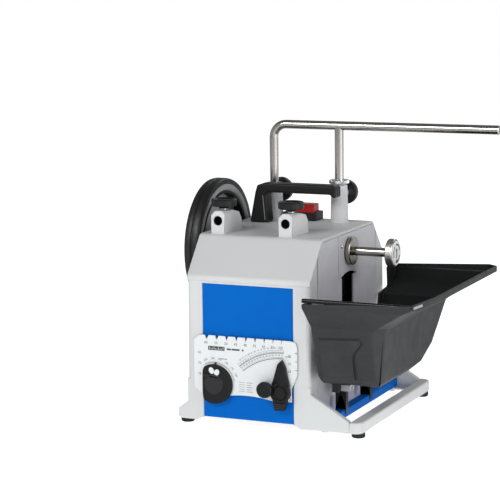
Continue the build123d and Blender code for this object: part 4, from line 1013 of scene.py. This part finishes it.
def make_trough():
    """The trough with a painted shade inside it, the rail along its near edge, the shallow panel on its near
    wall with a painted shadow along its groove, and a painted highlight at its rim end.
    """
    soften("water_trough", 3.2, 4, 20, factor=trough_factor, inside=in_tank, finish=trough_painted_shade)
    low, high = local_box("water_trough")
    left, right = low.x + 0.3, high.x - 8.5
    profile = [(0, left), (2.5, left), (2.8, left + 1), (2.8, right - 1), (2.4, right), (0, right)]
    rail = lathe(profile, (0, low.y + 2.85, high.z - 2.9), "x", 32)
    edge = [(99.7, 126.3), (154.5, 129.0), (157.3, 122.5), (146.5, 109.5), (145.2, 103.0), (147.5, 75.7)]
    # A dark stripe along the groove on the near wall: a painted shadow.
    groove_shadow = stripe(edge, 1.1, near_wall, 0.15)
    panel = [(100.5, 124.4), (153.5, 127.2), (155.6, 122.8), (145.4, 110.2), (143.9, 103.0), (146.0, 73.0),
             (104.0, 70.5)]
    raised = slab(rounded(panel, 1.2), near_wall, 0.5, 0.25)
    parts = [made_of(rail, gloss_black), made_of(groove_shadow, painted_shade), made_of(raised, looks["trough_plastic"])]
    add_detail("trough_relief", join(parts, "trough_relief"), "water_trough")

    def on_rim(u, v, w):
        return at(right + (v + 33) * 0.117 + w, v, high.z - 5.4 + u)

    # A pale patch on the near end of the rim: a painted highlight.
    rim_highlight = slab([(0, -28.0), (3.2, -29.0), (3.2, -5.0), (0, -4.0)], on_rim, 0.35, 0.1)
    add_detail("trough_rim_highlight", made_of(rim_highlight, painted_highlight_plastic), "water_trough")


make_trough()


# ---------------------------------------------------------------- stage and light
def make_floor():
    """A wide pale floor that stays white far away, and that shows metal a darker side."""
    shader = Shader("floor_paper")
    shader.colour(shader.mix(shader.noise(3, 3), (0.78, 0.78, 0.78), (0.8, 0.8, 0.8)))
    shader.set(Roughness=0.9, Emission_Color=(1, 1, 1, 1), Specular_IOR_Level=0.0)
    split = shader.add("ShaderNodeSeparateXYZ")
    shader.link(shader.coords, split.inputs[0])
    angle = shader.add("ShaderNodeMath", operation="ARCTAN2")
    shader.link(split.outputs["Y"], angle.inputs[0])
    shader.link(split.outputs["X"], angle.inputs[1])
    turn = shader.span(angle.outputs[0], 0, 1, -math.pi, math.pi)
    ramp = shader.add("ShaderNodeValToRGB")
    stops = ramp.color_ramp.elements
    stops[0].position, stops[0].color = 0.0, (0.1, 0.1, 0.1, 1)
    stops[1].position, stops[1].color = 1.0, (0.1, 0.1, 0.1, 1)
    for place, tone in ((0.2, 0.04), (0.28, 0.1), (0.35, 0.45), (0.42, 0.95), (0.52, 1.0), (0.58, 0.4),
                        (0.66, 0.2), (0.78, 0.5), (0.9, 0.5)):
        stop = stops.new(place)
        stop.color = (tone, tone, tone, 1)
    shader.link(turn, ramp.inputs[0])
    path = shader.add("ShaderNodeLightPath")
    glow = shader.add("ShaderNodeMix", data_type="FLOAT")
    glow.inputs[2].default_value = 0.86
    shader.link(path.outputs["Is Glossy Ray"], glow.inputs[0])
    shader.link(ramp.outputs["Color"], glow.inputs[3])
    shader.link(glow.outputs[0], shader.surface.inputs["Emission Strength"])
    mesh = bpy.data.meshes.new("floor")
    reach = 30
    mesh.from_pydata([(-reach, -reach, 0), (reach, -reach, 0), (reach, reach, 0), (-reach, reach, 0)], [],
                     [(0, 1, 2, 3)])
    mesh.materials.append(shader.material)
    floor = bpy.data.objects.new("floor", mesh)
    bpy.context.scene.collection.objects.link(floor)


def add_light(name, place, aim, size, power):
    """A soft box at place that shines at aim."""
    data = bpy.data.lights.new(name, "AREA")
    data.shape = "RECTANGLE"
    data.size, data.size_y = size
    data.energy = power
    light = bpy.data.objects.new(name, data)
    bpy.context.scene.collection.objects.link(light)
    light.location = place
    light.rotation_euler = (Vector(aim) - Vector(place)).to_track_quat("-Z", "Y").to_euler()


def make_world():
    """Even light that weakens from the horizon to straight above."""
    world = bpy.data.worlds.new("studio")
    bpy.context.scene.world = world
    world.use_nodes = True
    tree = world.node_tree
    coords = tree.nodes.new("ShaderNodeTexCoord")
    split = tree.nodes.new("ShaderNodeSeparateXYZ")
    ramp = tree.nodes.new("ShaderNodeValToRGB")
    ramp.color_ramp.elements[0].position = 0.0
    ramp.color_ramp.elements[0].color = (1.0, 1.0, 1.0, 1)
    ramp.color_ramp.elements[1].position = 0.7
    ramp.color_ramp.elements[1].color = (0.3, 0.3, 0.31, 1)
    tree.links.new(coords.outputs["Generated"], split.inputs[0])
    tree.links.new(split.outputs["Z"], ramp.inputs[0])
    tree.links.new(ramp.outputs["Color"], tree.nodes["Background"].inputs["Color"])
    tree.nodes["Background"].inputs["Strength"].default_value = 0.43


make_floor()
make_world()
add_light("key", (-0.9, -2.6, 1.9), (0, 0, 0.15), (1.6, 1.0), 46)
add_light("side", (2.6, -0.6, 1.1), (0, 0, 0.15), (1.4, 1.6), 29)
add_light("rim", (0.4, 2.4, 1.9), (0, 0, 0.2), (1.6, 0.8), 12)
bpy.context.scene.view_settings.view_transform = "Standard"
